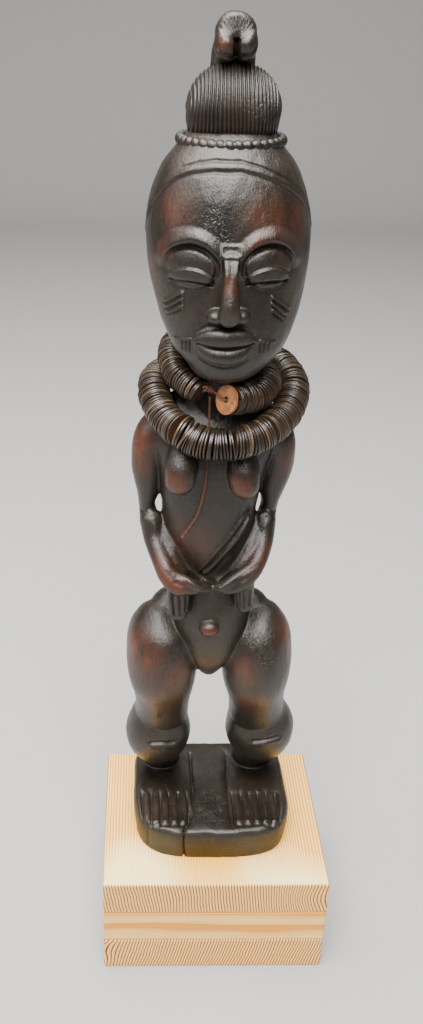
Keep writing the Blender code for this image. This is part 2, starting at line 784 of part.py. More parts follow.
def tail(parts, material):
    """The cord's free end, a thin tube from under the knot down the chest."""
    curve = bpy.data.curves.new("necklace_cord_tail", "CURVE")
    curve.dimensions = "3D"
    curve.bevel_depth = CORD_DIAMETER / 2
    curve.bevel_resolution = 2
    curve.use_fill_caps = True
    route = even_steps(blended(TAIL, 8), 30) * PART
    spline = curve.splines.new("POLY")
    spline.points.add(len(route) - 1)
    for point, (x, y, z) in zip(spline.points, route):
        point.co = (x, y, z + STAND, 1)
    curve.materials.append(material)
    parts.objects.link(bpy.data.objects.new("necklace_cord_tail", curve))


def boards(parts, materials):
    """The block: boards one above the other, with their edges just broken."""
    for layer, (name, material) in enumerate(zip(BOARD_NAMES, materials)):
        height = BOARD_THICKNESS - (TOUCH_GAP if layer else 0)
        bm = bmesh.new()
        size = Matrix.Diagonal((PLINTH_WIDTH, PLINTH_DEPTH, height, 1))
        bmesh.ops.create_cube(bm, size=1, matrix=size)
        mesh = bpy.data.meshes.new(name)
        bm.to_mesh(mesh)
        bm.free()
        mesh.materials.append(material)
        item = bpy.data.objects.new(name, mesh)
        item.location.z = (layer + 1) * BOARD_THICKNESS - height / 2
        bevel = item.modifiers.new("broken edge", "BEVEL")
        bevel.width = BOARD_EDGE
        bevel.segments = 1
        parts.objects.link(item)


def finish(name, colour, roughness):
    """A Principled material of one colour."""
    material = bpy.data.materials.new(name)
    material.use_nodes = True
    shader = material.node_tree.nodes["Principled BSDF"]
    shader.inputs["Base Color"].default_value = (*colour, 1)
    shader.inputs["Roughness"].default_value = roughness
    shader.inputs["Metallic"].default_value = 0
    material.diffuse_color = (*colour, 1)
    return material


def main():
    for item in list(bpy.data.objects):
        bpy.data.objects.remove(item)
    parts = bpy.data.collections.new("carved_woman")
    helpers = bpy.data.collections.new("hair_forms")
    for collection in (parts, helpers):
        bpy.context.scene.collection.children.link(collection)

    softwood = (0.62, 0.36, 0.19)
    boards(parts, [finish(name, softwood, 0.7) for name in BOARD_NAMES])
    woman = figure(parts, helpers)
    woman.data.materials.clear()
    woman.data.materials.append(finish("dark_wood", (0.035, 0.022, 0.016), 0.45))
    strand = settled_strand(woman)
    disc_runs(strand, parts, finish("shell_discs", (0.07, 0.055, 0.04), 0.4))
    end_disc(strand, parts, finish("pale_disc", (0.3, 0.14, 0.06), 0.55))
    cord = finish("cord", (0.16, 0.07, 0.035), 0.8)
    knot(parts, cord)
    tail(parts, cord)


main()
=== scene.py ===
"""A carved wooden woman with a two-turn necklace of shell discs, on a block of three glued boards.

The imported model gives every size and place. The carving is drawn in parts, a part being a 497th of the
figure's height: x to the right, y to the back and z up from the figure's own underside.
"""

import logging
import math
from dataclasses import dataclass
from enum import Enum

import bmesh
import bpy
import numpy as np
from mathutils import Matrix, Vector
from mathutils.bvhtree import BVHTree


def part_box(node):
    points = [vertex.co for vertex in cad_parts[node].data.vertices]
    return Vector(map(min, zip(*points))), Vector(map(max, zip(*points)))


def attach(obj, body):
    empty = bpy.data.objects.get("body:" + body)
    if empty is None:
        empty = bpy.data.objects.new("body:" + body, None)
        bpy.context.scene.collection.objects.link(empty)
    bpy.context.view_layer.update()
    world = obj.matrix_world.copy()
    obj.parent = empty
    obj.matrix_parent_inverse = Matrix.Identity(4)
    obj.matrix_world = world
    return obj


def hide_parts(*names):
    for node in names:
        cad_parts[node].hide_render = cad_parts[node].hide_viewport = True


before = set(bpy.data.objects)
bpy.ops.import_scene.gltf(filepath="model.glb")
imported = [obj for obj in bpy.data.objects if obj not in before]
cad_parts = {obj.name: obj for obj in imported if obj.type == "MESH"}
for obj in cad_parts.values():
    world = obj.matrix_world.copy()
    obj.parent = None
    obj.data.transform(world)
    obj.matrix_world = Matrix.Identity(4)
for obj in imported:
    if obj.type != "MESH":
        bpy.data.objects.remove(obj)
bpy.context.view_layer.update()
LOG = logging.getLogger("carved_woman")
Rows = tuple[tuple[float, ...], ...]
Colour = tuple[float, float, float]
Triple = tuple[float, float, float]


def blended(rows: Rows, steps: int) -> np.ndarray:
    """Rows of numbers with smooth rows put in each span.

    Args:
        rows: the rows to pass through.
        steps: how many rows each span gives.

    Returns:
        The rows as an array.
    """
    known = np.array(rows, float)
    padded = np.vstack([2 * known[0] - known[1], known, 2 * known[-1] - known[-2]])
    out = []
    for first in range(len(known) - 1):
        a, b, c, d = padded[first : first + 4]
        for t in np.arange(steps) / steps:
            cubic = (3 * b - a - 3 * c + d) * t**3
            out.append(0.5 * (2 * b + (c - a) * t + (2 * a - 5 * b + 4 * c - d) * t**2 + cubic))
    out.append(known[-1])
    return np.array(out)


def even_steps(path: np.ndarray, count: int) -> np.ndarray:
    """A path's columns read at even steps along its length.

    Args:
        path: rows that start with x, y and z.
        count: how many rows to give.

    Returns:
        The rows as an array.
    """
    steps = np.linalg.norm(np.diff(path[:, :3], axis=0), axis=1)
    along = np.concatenate([[0], np.cumsum(steps)])
    wanted = np.linspace(0, along[-1], count)
    return np.stack([np.interp(wanted, along, column) for column in path.T], axis=1)


def loft(bm: bmesh.types.BMesh, rings: list, closed: bool = False) -> None:
    """A skin bridged from ring to ring.

    Args:
        bm: the mesh that gets the skin.
        rings: lists of equally many points.
        closed: whether the last ring joins the first, instead of both being capped.
    """
    loops = []
    for points in rings:
        made = bmesh.ops.create_circle(bm, segments=len(points), radius=1)["verts"]
        loops.append(list({edge for vertex in made for edge in vertex.link_edges}))
        for vertex, point in zip(made, points):
            vertex.co = point
    for low, high in zip(loops, loops[1:] + loops[:1] if closed else loops[1:]):
        bmesh.ops.bridge_loops(bm, edges=low + high)
    if not closed:
        for rim in (loops[0], loops[-1]):
            bmesh.ops.contextual_create(bm, geom=rim)


def ring_round(centre: Vector, along: Vector, across: Vector, wide: float, deep: float, sides: int) -> list:
    """The points of an oval ring square to a direction.

    Args:
        centre: the ring's middle.
        along: the direction that the ring faces.
        across: the direction that wide is measured in.
        wide: half the ring's width.
        deep: half its depth.
        sides: how many points.

    Returns:
        The points.
    """
    along = along.normalized()
    side = (across - along * along.dot(across)).normalized()
    other = along.cross(side)
    turns = [math.tau * k / sides for k in range(sides)]
    return [centre + side * wide * math.cos(turn) + other * deep * math.sin(turn) for turn in turns]


def tube(bm: bmesh.types.BMesh, route: np.ndarray, radius: float, sides: int) -> None:
    """A round tube along a route, with closed ends.

    Args:
        bm: the mesh that gets the tube.
        route: rows of x, y and z.
        radius: the tube's radius.
        sides: how many flats the tube has.
    """
    tangents = np.gradient(route, axis=0)
    across = Vector((0.3, 0.2, 1.0))
    rings = []
    for point, tangent in zip(route, tangents):
        rings.append(ring_round(Vector(point), Vector(tangent), across, radius, radius, sides))
    loft(bm, rings)


def piece_from(name: str, bm: bmesh.types.BMesh, smooth_angle: float = 0.0) -> bpy.types.Object:
    """An object at the origin from a finished bmesh in metres.

    Args:
        name: the piece's name.
        bm: the mesh, which is used up.
        smooth_angle: edges flatter than this many degrees are shaded smooth.

    Returns:
        The object, linked to the scene.
    """
    bmesh.ops.recalc_face_normals(bm, faces=bm.faces)
    mesh = bpy.data.meshes.new(name)
    bm.to_mesh(mesh)
    bm.free()
    if smooth_angle:
        mesh.shade_smooth()
        mesh.set_sharp_from_angle(angle=math.radians(smooth_angle))
    made = bpy.data.objects.new(name, mesh)
    bpy.context.scene.collection.objects.link(made)
    return made


def apply_modifiers(item: bpy.types.Object) -> bpy.types.Mesh:
    """The object's mesh once its modifiers are worked into it."""
    graph = bpy.context.evaluated_depsgraph_get()
    mesh = bpy.data.meshes.new_from_object(item.evaluated_get(graph), depsgraph=graph)
    item.modifiers.clear()
    item.data = mesh
    return mesh


def read_points(mesh: bpy.types.Mesh, value: str = "co") -> np.ndarray:
    """The places or the normals of a mesh's points as rows of x, y and z."""
    flat = np.empty(len(mesh.vertices) * 3)
    mesh.vertices.foreach_get(value, flat)
    return flat.reshape(-1, 3)


def bump(distance: np.ndarray, reach: float) -> np.ndarray:
    """1 on a line and 0 at reach from it, round at both."""
    share = np.clip(distance / reach, 0, 1)
    return (1 - share**2) ** 2


def plateau(value: np.ndarray, low: float, high: float, soft: float) -> np.ndarray:
    """1 between low and high, falling to 0 over soft at either end."""
    share = np.clip(np.minimum(value - low, high - value) / soft + 0.5, 0, 1)
    return share * share * (3 - 2 * share)


def distance_to(points: np.ndarray, route: Rows, reach: float) -> np.ndarray:
    """How far flat points are from a broken line.

    Args:
        points: rows of two numbers.
        route: the line's points.
        reach: points further off than this in either number aren't measured.

    Returns:
        The distances, with a large one for what isn't measured.
    """
    line = np.array(route, float)
    nearest = np.full(len(points), 1e6)
    inside = np.all((points > line.min(axis=0) - reach) & (points < line.max(axis=0) + reach), axis=1)
    kept = points[inside]
    best = np.full(len(kept), 1e6)
    for start, end in zip(line[:-1], line[1:]):
        run = end - start
        along = np.clip(((kept - start) @ run) / (run @ run), 0, 1)
        best = np.minimum(best, np.linalg.norm(kept - start - along[:, None] * run, axis=1))
    nearest[inside] = best
    return nearest


class Sheet:
    """A material's sheet of nodes, with short ways to add them and join them."""

    def __init__(self, name: str) -> None:
        """Starts an empty material.

        Args:
            name: the material's name.
        """
        self.material = bpy.data.materials.new(name)
        self.material.use_nodes = True
        self.nodes = self.material.node_tree.nodes
        self.links = self.material.node_tree.links
        self.shader = self.nodes["Principled BSDF"]
        self.place = self.nodes.new("ShaderNodeTexCoord").outputs["Object"]

    def feed(self, socket: bpy.types.NodeSocket, value: object) -> None:
        """Joins a socket to another, or sets its number or colour."""
        if isinstance(value, bpy.types.NodeSocket):
            self.links.new(value, socket)
        else:
            socket.default_value = value

    def maths(self, operation: str, *values: object) -> bpy.types.NodeSocket:
        """The result of one step of arithmetic on sockets or numbers."""
        node = self.nodes.new("ShaderNodeMath")
        node.operation = operation
        for socket, value in zip(node.inputs, values):
            self.feed(socket, value)
        return node.outputs[0]

    def stretched(self, stretch: Triple) -> bpy.types.NodeSocket:
        """The object's coordinates, each multiplied by its own number."""
        node = self.nodes.new("ShaderNodeVectorMath")
        node.operation = "MULTIPLY"
        self.feed(node.inputs[0], self.place)
        node.inputs[1].default_value = stretch
        return node.outputs[0]

    def noise(self, stretch: Triple, detail: float = 3.0, roughness: float = 0.55) -> bpy.types.NodeSocket:
        """Cloudy noise.

        Args:
            stretch: how many clouds a metre holds along x, y and z.
            detail: how many finer layers it has.
            roughness: how strong those are.

        Returns:
            The noise's value, about 0.5 on average.
        """
        node = self.nodes.new("ShaderNodeTexNoise")
        self.feed(node.inputs["Vector"], self.stretched(stretch))
        node.inputs["Scale"].default_value = 1.0
        node.inputs["Detail"].default_value = detail
        node.inputs["Roughness"].default_value = roughness
        return node.outputs["Fac"]

    def ramp(self, factor: bpy.types.NodeSocket, *stops: tuple) -> bpy.types.NodeSocket:
        """Colours looked up along a ramp.

        Args:
            factor: where to look, from 0 to 1.
            stops: pairs of a place and a colour, or a place and a grey.

        Returns:
            The colour.
        """
        node = self.nodes.new("ShaderNodeValToRGB")
        self.feed(node.inputs[0], factor)
        while len(node.color_ramp.elements) < len(stops):
            node.color_ramp.elements.new(0.5)
        for element, (place, tone) in zip(node.color_ramp.elements, stops):
            element.position = place
            element.color = (*tone, 1) if isinstance(tone, tuple) else (tone, tone, tone, 1)
        return node.outputs[0]

    def mixed(
        self, factor: object, first: object, second: object, blend: str = "MIX"
    ) -> bpy.types.NodeSocket:
        """Two colours mixed.

        Args:
            factor: how much of the second, from 0 to 1.
            first: the first colour or socket.
            second: the second colour or socket.
            blend: how the second is laid on the first.

        Returns:
            The colour.
        """
        node = self.nodes.new("ShaderNodeMix")
        node.data_type = "RGBA"
        node.blend_type = blend
        self.feed(node.inputs[0], factor)
        for socket, value in ((node.inputs[6], first), (node.inputs[7], second)):
            self.feed(socket, (*value, 1) if isinstance(value, tuple) else value)
        return node.outputs[2]

    def worn(self, name: str) -> bpy.types.NodeSocket:
        """The value that a mesh carries under a name."""
        node = self.nodes.new("ShaderNodeAttribute")
        node.attribute_name = name
        return node.outputs["Fac"]

    def raised(self, height: bpy.types.NodeSocket, distance: float, strength: float = 1.0) -> None:
        """Makes the surface look raised, on top of what was raised before.

        Args:
            height: the height from 0 to 1.
            distance: what 1 stands for in metres.
            strength: how much of it shows.
        """
        node = self.nodes.new("ShaderNodeBump")
        node.inputs["Strength"].default_value = strength
        node.inputs["Distance"].default_value = distance
        self.feed(node.inputs["Height"], height)
        before = self.shader.inputs["Normal"]
        if before.links:
            self.feed(node.inputs["Normal"], before.links[0].from_socket)
        self.feed(before, node.outputs["Normal"])


@dataclass(frozen=True)
class DarkWood:
    """Old waxed wood, near black, rubbed to a red brown where hands reach it."""

    black: Colour = (0.0055, 0.0036, 0.0022)
    brown: Colour = (0.021, 0.0128, 0.007)
    rubbed: Colour = (0.115, 0.024, 0.0078)
    dust: Colour = (0.016, 0.0125, 0.0085)
    roughness: float = 0.36
    roughness_swing: float = 0.22
    fibre_height: float = 0.00016
    tool_mark_height: float = 0.00034
    pit_depth: float = 0.00036

    def material(self) -> bpy.types.Material:
        """The finish as nodes: cloudy browns, rubbed places, dust, painted shade in hollows and on the slab's
        sides, grain and pits.
        """
        sheet = Sheet("dark_wood_waxed")
        clouds = sheet.noise((45, 45, 26), 5)
        mottle = sheet.noise((260, 260, 170), 5, 0.7)
        colour = sheet.ramp(clouds, (0.3, self.black), (0.66, self.brown))
        patchy = sheet.ramp(sheet.noise((85, 85, 45), 5, 0.65), (0.3, 0.1), (0.72, 0.95))
        rubbing = sheet.maths("MULTIPLY", sheet.worn("wear"), patchy)
        colour = sheet.mixed(rubbing, colour, self.rubbed)
        fibres = sheet.noise((1500, 1500, 60), 4, 0.7)
        colour = sheet.mixed(0.45, colour, sheet.ramp(fibres, (0.35, 0.45), (0.6, 1.0)), "MULTIPLY")
        colour = sheet.mixed(0.5, colour, sheet.ramp(mottle, (0.36, 0.3), (0.6, 1.0)), "MULTIPLY")
        # Painted shade: concave places and the slab's sides are darkened towards black; the same mask also
        # makes them rougher.
        shaded_hollow = sheet.worn("shaded_hollow")
        colour = sheet.mixed(sheet.maths("MULTIPLY", shaded_hollow, 0.8), colour, self.black)
        dusting = sheet.maths("MULTIPLY", sheet.worn("dusty"), sheet.ramp(mottle, (0.4, 0.0), (0.7, 0.6)))
        colour = sheet.mixed(dusting, colour, self.dust)
        sheet.feed(sheet.shader.inputs["Base Color"], colour)
        smoothest = self.roughness - self.roughness_swing / 2
        patches = sheet.maths("MULTIPLY_ADD", clouds, self.roughness_swing, smoothest)
        rough = sheet.maths("ADD", patches, sheet.maths("MULTIPLY", shaded_hollow, self.roughness_swing))
        sheet.feed(sheet.shader.inputs["Roughness"], rough)
        sheet.shader.inputs["Specular IOR Level"].default_value = 0.46
        sheet.shader.inputs["Coat Weight"].default_value = 0.05
        sheet.shader.inputs["Coat Roughness"].default_value = 0.36
        sheet.raised(fibres, self.fibre_height)
        sheet.raised(sheet.noise((640, 640, 430), 4, 0.65), self.tool_mark_height)
        pits = sheet.ramp(sheet.noise((620, 620, 430), 2, 0.8), (0.38, 0.0), (0.52, 1.0))
        sunk = sheet.maths("MULTIPLY", sheet.maths("SUBTRACT", 1.0, pits), sheet.worn("pitted"))
        sheet.raised(sheet.maths("SUBTRACT", 1.0, sunk), self.pit_depth)
        return sheet.material


@dataclass(frozen=True)
class DiscShell:
    """Thin discs of dark shell with polished rims and browner faces."""

    dark: Colour = (0.0085, 0.006, 0.0042)
    horn: Colour = (0.03, 0.0205, 0.0128)
    pale: Colour = (0.13, 0.088, 0.05)
    face: Colour = (0.052, 0.025, 0.0105)

    def material(self) -> bpy.types.Material:
        """The finish as nodes: every disc has its own shade, with streaks on the rim."""
        sheet = Sheet("shell_disc_rims")
        shade = sheet.ramp(sheet.worn("shade"), (0.0, self.dark), (0.5, self.horn), (1.0, self.pale))
        streaks = sheet.noise((700, 700, 700), 5, 0.75)
        shade = sheet.mixed(0.7, shade, sheet.ramp(streaks, (0.36, 0.35), (0.62, 1.0)), "MULTIPLY")
        sheet.feed(sheet.shader.inputs["Base Color"], sheet.mixed(sheet.worn("face"), shade, self.face))
        sheet.feed(sheet.shader.inputs["Roughness"], sheet.maths("MULTIPLY_ADD", streaks, 0.35, 0.17))
        sheet.raised(streaks, 0.00012)
        return sheet.material


@dataclass(frozen=True)
class PaleShell:
    """The bare orange-brown face of the end disc."""

    ochre: Colour = (0.30, 0.115, 0.034)
    umber: Colour = (0.11, 0.038, 0.013)

    def material(self) -> bpy.types.Material:
        """The finish as nodes: blotches and fine scratches."""
        sheet = Sheet("pale_shell_face")
        blotches = sheet.noise((260, 260, 260), 5, 0.65)
        colour = sheet.ramp(blotches, (0.35, self.umber), (0.62, self.ochre))
        sheet.feed(sheet.shader.inputs["Base Color"], colour)
        sheet.feed(sheet.shader.inputs["Roughness"], sheet.maths("MULTIPLY_ADD", blotches, 0.25, 0.42))
        sheet.raised(sheet.noise((1800, 1800, 1800), 3), 0.00005)
        return sheet.material


@dataclass(frozen=True)
class TwistedCord:
    """Rusty brown twisted thread."""

    rust: Colour = (0.13, 0.04, 0.014)
    shade: Colour = (0.045, 0.016, 0.008)

    def material(self) -> bpy.types.Material:
        """The finish as nodes: dull thread with darker fibres."""
        sheet = Sheet("rusty_thread")
        fibres = sheet.noise((2400, 2400, 2400), 4, 0.7)
        colour = sheet.ramp(fibres, (0.35, self.shade), (0.62, self.rust))
        sheet.feed(sheet.shader.inputs["Base Color"], colour)
        sheet.shader.inputs["Roughness"].default_value = 0.85
        sheet.raised(fibres, 0.00008)
        return sheet.material


class Grain(Enum):
    """Which way a board's fibres run."""

    FRONT_TO_BACK = "along y"
    SIDE_TO_SIDE = "along x"


@dataclass(frozen=True)
class Softwood:
    """Bare planed softwood, drawn as a solid field of growth rings.

    Ring is the width of a year. Across and upward say how fast the years go by along the board's side
    and upwards, sway and ripple how far they wander. Swirl is a bend of the years round a place: its x, z,
    reach and depth. Late is the dark wood of a year, which starts at late_from. The front of the top face
    carries a painted highlight, broken by a painted shadow cast by the figure: its middle, half width and
    strength.
    """

    name: str
    grain: Grain = Grain.FRONT_TO_BACK
    ring: float = 0.0019
    across: float = 1.0
    upward: float = 0.12
    sway: float = 0.005
    ripple: float = 0.0007
    swirl: tuple[float, float, float, float] = (0.06, 0.06, 0.018, 0.006)
    pale: Colour = (0.95, 0.58, 0.19)
    tan: Colour = (0.84, 0.37, 0.07)
    late: Colour = (0.12, 0.021, 0.004)
    late_from: float = 0.78
    top_face: Colour = (0.86, 0.43, 0.055)
    # Painted highlight: the near white laid on the front of the top face, where the light falls strongest.
    painted_highlight: Colour = (0.96, 0.83, 0.4)
    # Painted shadow: the orange of the figure's cast shadow on the top face, then the shadow's middle, half
    # width and strength.
    painted_shadow: Colour = (0.82, 0.4, 0.012)
    painted_shadow_place: Triple = (-0.004, 0.026, 0.55)

    def material(self) -> bpy.types.Material:
        """The finish as nodes: rings in the solid, fibres along the grain, a painted highlight on the front of
        the top face and a painted shadow of the figure across it.
        """
        sheet = Sheet(self.name)
        split = sheet.nodes.new("ShaderNodeSeparateXYZ")
        sheet.feed(split.inputs[0], sheet.place)
        x, y, z = split.outputs
        lengthways = self.grain is Grain.FRONT_TO_BACK
        side = x if lengthways else y
        low = sheet.noise((13, 2.2, 20) if lengthways else (5.5, 13, 30), 2)
        fine = sheet.noise((95, 6, 130) if lengthways else (9, 95, 130), 2)
        field = sheet.maths("MULTIPLY_ADD", side, self.across, sheet.maths("MULTIPLY", z, self.upward))
        field = sheet.maths("ADD", field, sheet.maths("MULTIPLY", low, self.sway))
        field = sheet.maths("ADD", field, sheet.maths("MULTIPLY", fine, self.ripple))
        middle, height, reach, lift = self.swirl
        off = sheet.maths("POWER", sheet.maths("DIVIDE", sheet.maths("SUBTRACT", x, middle), reach), 2.0)
        up = sheet.maths("POWER", sheet.maths("DIVIDE", sheet.maths("SUBTRACT", z, height), reach), 2.0)
        knot = sheet.maths("EXPONENT", sheet.maths("MULTIPLY", sheet.maths("ADD", off, up), -1.0))
        field = sheet.maths("ADD", field, sheet.maths("MULTIPLY", knot, lift))
        ring = sheet.maths("FRACT", sheet.maths("DIVIDE", field, self.ring))
        rings = sheet.ramp(
            ring,
            (0.0, self.tan),
            (0.12, self.pale),
            (self.late_from - 0.33, self.pale),
            (self.late_from - 0.12, self.tan),
            (self.late_from, self.late),
            (0.97, self.late),
        )
        fibres = sheet.noise((900, 22, 900) if lengthways else (22, 900, 900), 4, 0.7)
        colour = sheet.mixed(0.3, rings, sheet.ramp(fibres, (0.3, 0.55), (0.62, 1.0)), "MULTIPLY")
        patches = sheet.noise((18, 9, 18), 3)
        colour = sheet.mixed(sheet.maths("MULTIPLY", patches, 0.25), colour, self.tan, "SOFT_LIGHT")
        normal = sheet.nodes.new("ShaderNodeNewGeometry").outputs["True Normal"]
        facing = sheet.nodes.new("ShaderNodeSeparateXYZ")
        sheet.feed(facing.inputs[0], normal)
        upward_face = sheet.maths("GREATER_THAN", facing.outputs[2], 0.8)
        colour = sheet.mixed(sheet.maths("MULTIPLY", upward_face, 0.5), colour, self.top_face)
        # Painted highlight: the front of the top face turns near white, more so towards the front edge.
        frontness = sheet.maths("MULTIPLY_ADD", y, -17.0, sheet.maths("MULTIPLY_ADD", patches, 1.3, -0.9))
        painted_highlight_mask = sheet.ramp(frontness, (0.2, 0.0), (0.6, 0.7))
        # Painted shadow: a band in front of the figure is kept out of the highlight and painted orange as the
        # figure's cast shadow.
        shadow_middle, shadow_half, shadow_strength = self.painted_shadow_place
        away = sheet.maths("DIVIDE", sheet.maths("ADD", x, -shadow_middle), shadow_half)
        shadow_tongue = sheet.maths("EXPONENT", sheet.maths("MULTIPLY", sheet.maths("POWER", away, 4.0), -1.0))
        out_of_shadow = sheet.maths("SUBTRACT", 1.0, sheet.maths("MULTIPLY", shadow_tongue, 0.7))
        painted_highlight_mask = sheet.maths("MULTIPLY", painted_highlight_mask, out_of_shadow)
        painted_shadow_mask = sheet.maths("MULTIPLY", sheet.maths("MULTIPLY", shadow_tongue, shadow_strength), upward_face)
        colour = sheet.mixed(painted_shadow_mask, colour, self.painted_shadow)
        colour = sheet.mixed(sheet.maths("MULTIPLY", painted_highlight_mask, upward_face), colour, self.painted_highlight)
        sheet.feed(sheet.shader.inputs["Base Color"], colour)
        sheet.shader.inputs["Roughness"].default_value = 0.62
        sheet.raised(ring, 0.0001)
        sheet.raised(fibres, 0.00007)
        return sheet.material


@dataclass(frozen=True)
class PlainCard:
    """The studio's smooth pale paper."""

    tone: Colour = (0.34, 0.34, 0.335)

    def material(self) -> bpy.types.Material:
        """The finish as nodes: a flat pale grey with the faintest tooth."""
        sheet = Sheet("studio_paper")
        tooth = sheet.noise((300, 300, 300), 2)
        darker = tuple(0.97 * part for part in self.tone)
        sheet.feed(sheet.shader.inputs["Base Color"], sheet.mixed(tooth, self.tone, darker))
        sheet.shader.inputs["Roughness"].default_value = 0.9
        return sheet.material


class Cut(Enum):
    """Where a stroke of the knife is drawn, and so which way it goes in."""

    HEAD_FRONT = "x and z of the face"
    BODY_FRONT = "x and z of the trunk and legs"
    SLAB_TOP = "x and y of the slab"
    SLAB_EDGE = "x and z of the slab's front"


@dataclass(frozen=True)
class Stroke:
    """One line cut in or raised: its route, half its width and its height, in parts."""

    cut: Cut
    route: Rows
    reach: float
    height: float


@dataclass(frozen=True)
class EyeShape:
    """The sizes of a carved eye in parts, from its middle: brow, ditch, ball and closed lids."""

    brow_radii: tuple[float, float] = (13.4, 14.1)
    brow_middle: float = -0.5
    brow_height: float = 2.9
    brow_spread: tuple[float, float] = (0.3, 0.42)
    ball_half_width: float = 11.9
    ball_radii: tuple[float, float] = (9.2, 11.0)
    ball_height: float = 3.3
    ditch_depths: tuple[float, float] = (0.35, 1.5)
    lid_half_width: float = 11.6
    lid_top: tuple[float, float] = (-0.1, -5.2)
    lid_low: tuple[float, float] = (-6.1, -1.5)
    lid_height: float = 1.5
    slit_depth: float = 1.5
    crease_depth: float = 0.7

    def height(self, across: np.ndarray, up: np.ndarray, inner: float) -> np.ndarray:
        """How far the eye's forms stand out of the face.

        Args:
            across: how far each point is to the right of the eye's middle.
            up: how far it is above the middle.
            inner: 1 where the nose is on the right, -1 where it is on the left.

        Returns:
            The height of each point in parts.
        """
        share = across / self.lid_half_width
        arch = np.hypot(across / self.brow_radii[0], (up - self.brow_middle) / self.brow_radii[1])
        above = np.clip((up + 5.5 + 1.5 * inner * share) / 7.0, 0, 1)
        above *= above * (3 - 2 * above)
        within, beyond = (bump(np.abs(arch - 1), spread) for spread in self.brow_spread)
        height = self.brow_height * above * np.where(arch > 1, beyond, within)
        ball = np.hypot(across / self.ball_half_width, up / np.where(up > 0, *self.ball_radii))
        shallow, deep = self.ditch_depths
        height -= (shallow + deep * above) * bump(np.abs(ball - 1.04), 0.2) * np.where(up > -4, 1, 0.6)
        height += self.ball_height * np.sqrt(np.clip(1 - ball**2, 0, 1))
        inside = np.clip((1.0 - np.abs(share)) / 0.12, 0, 1)
        top, low = (level + bend * share**2 for level, bend in (self.lid_top, self.lid_low))
        height += self.lid_height * inside * plateau((up - low) / (top - low + 0.5), 0.0, 1.0, 0.34)
        height -= self.slit_depth * inside * bump(np.abs(up - low + 0.7), 1.0)
        height -= self.crease_depth * inside * bump(np.abs(up - top - 0.7), 1.0)
        return height


def shifted(route: Rows, across: float, up: float = 0.0) -> Rows:
    """A route moved sideways and up."""
    return tuple((first + across, second + up) for first, second in route)


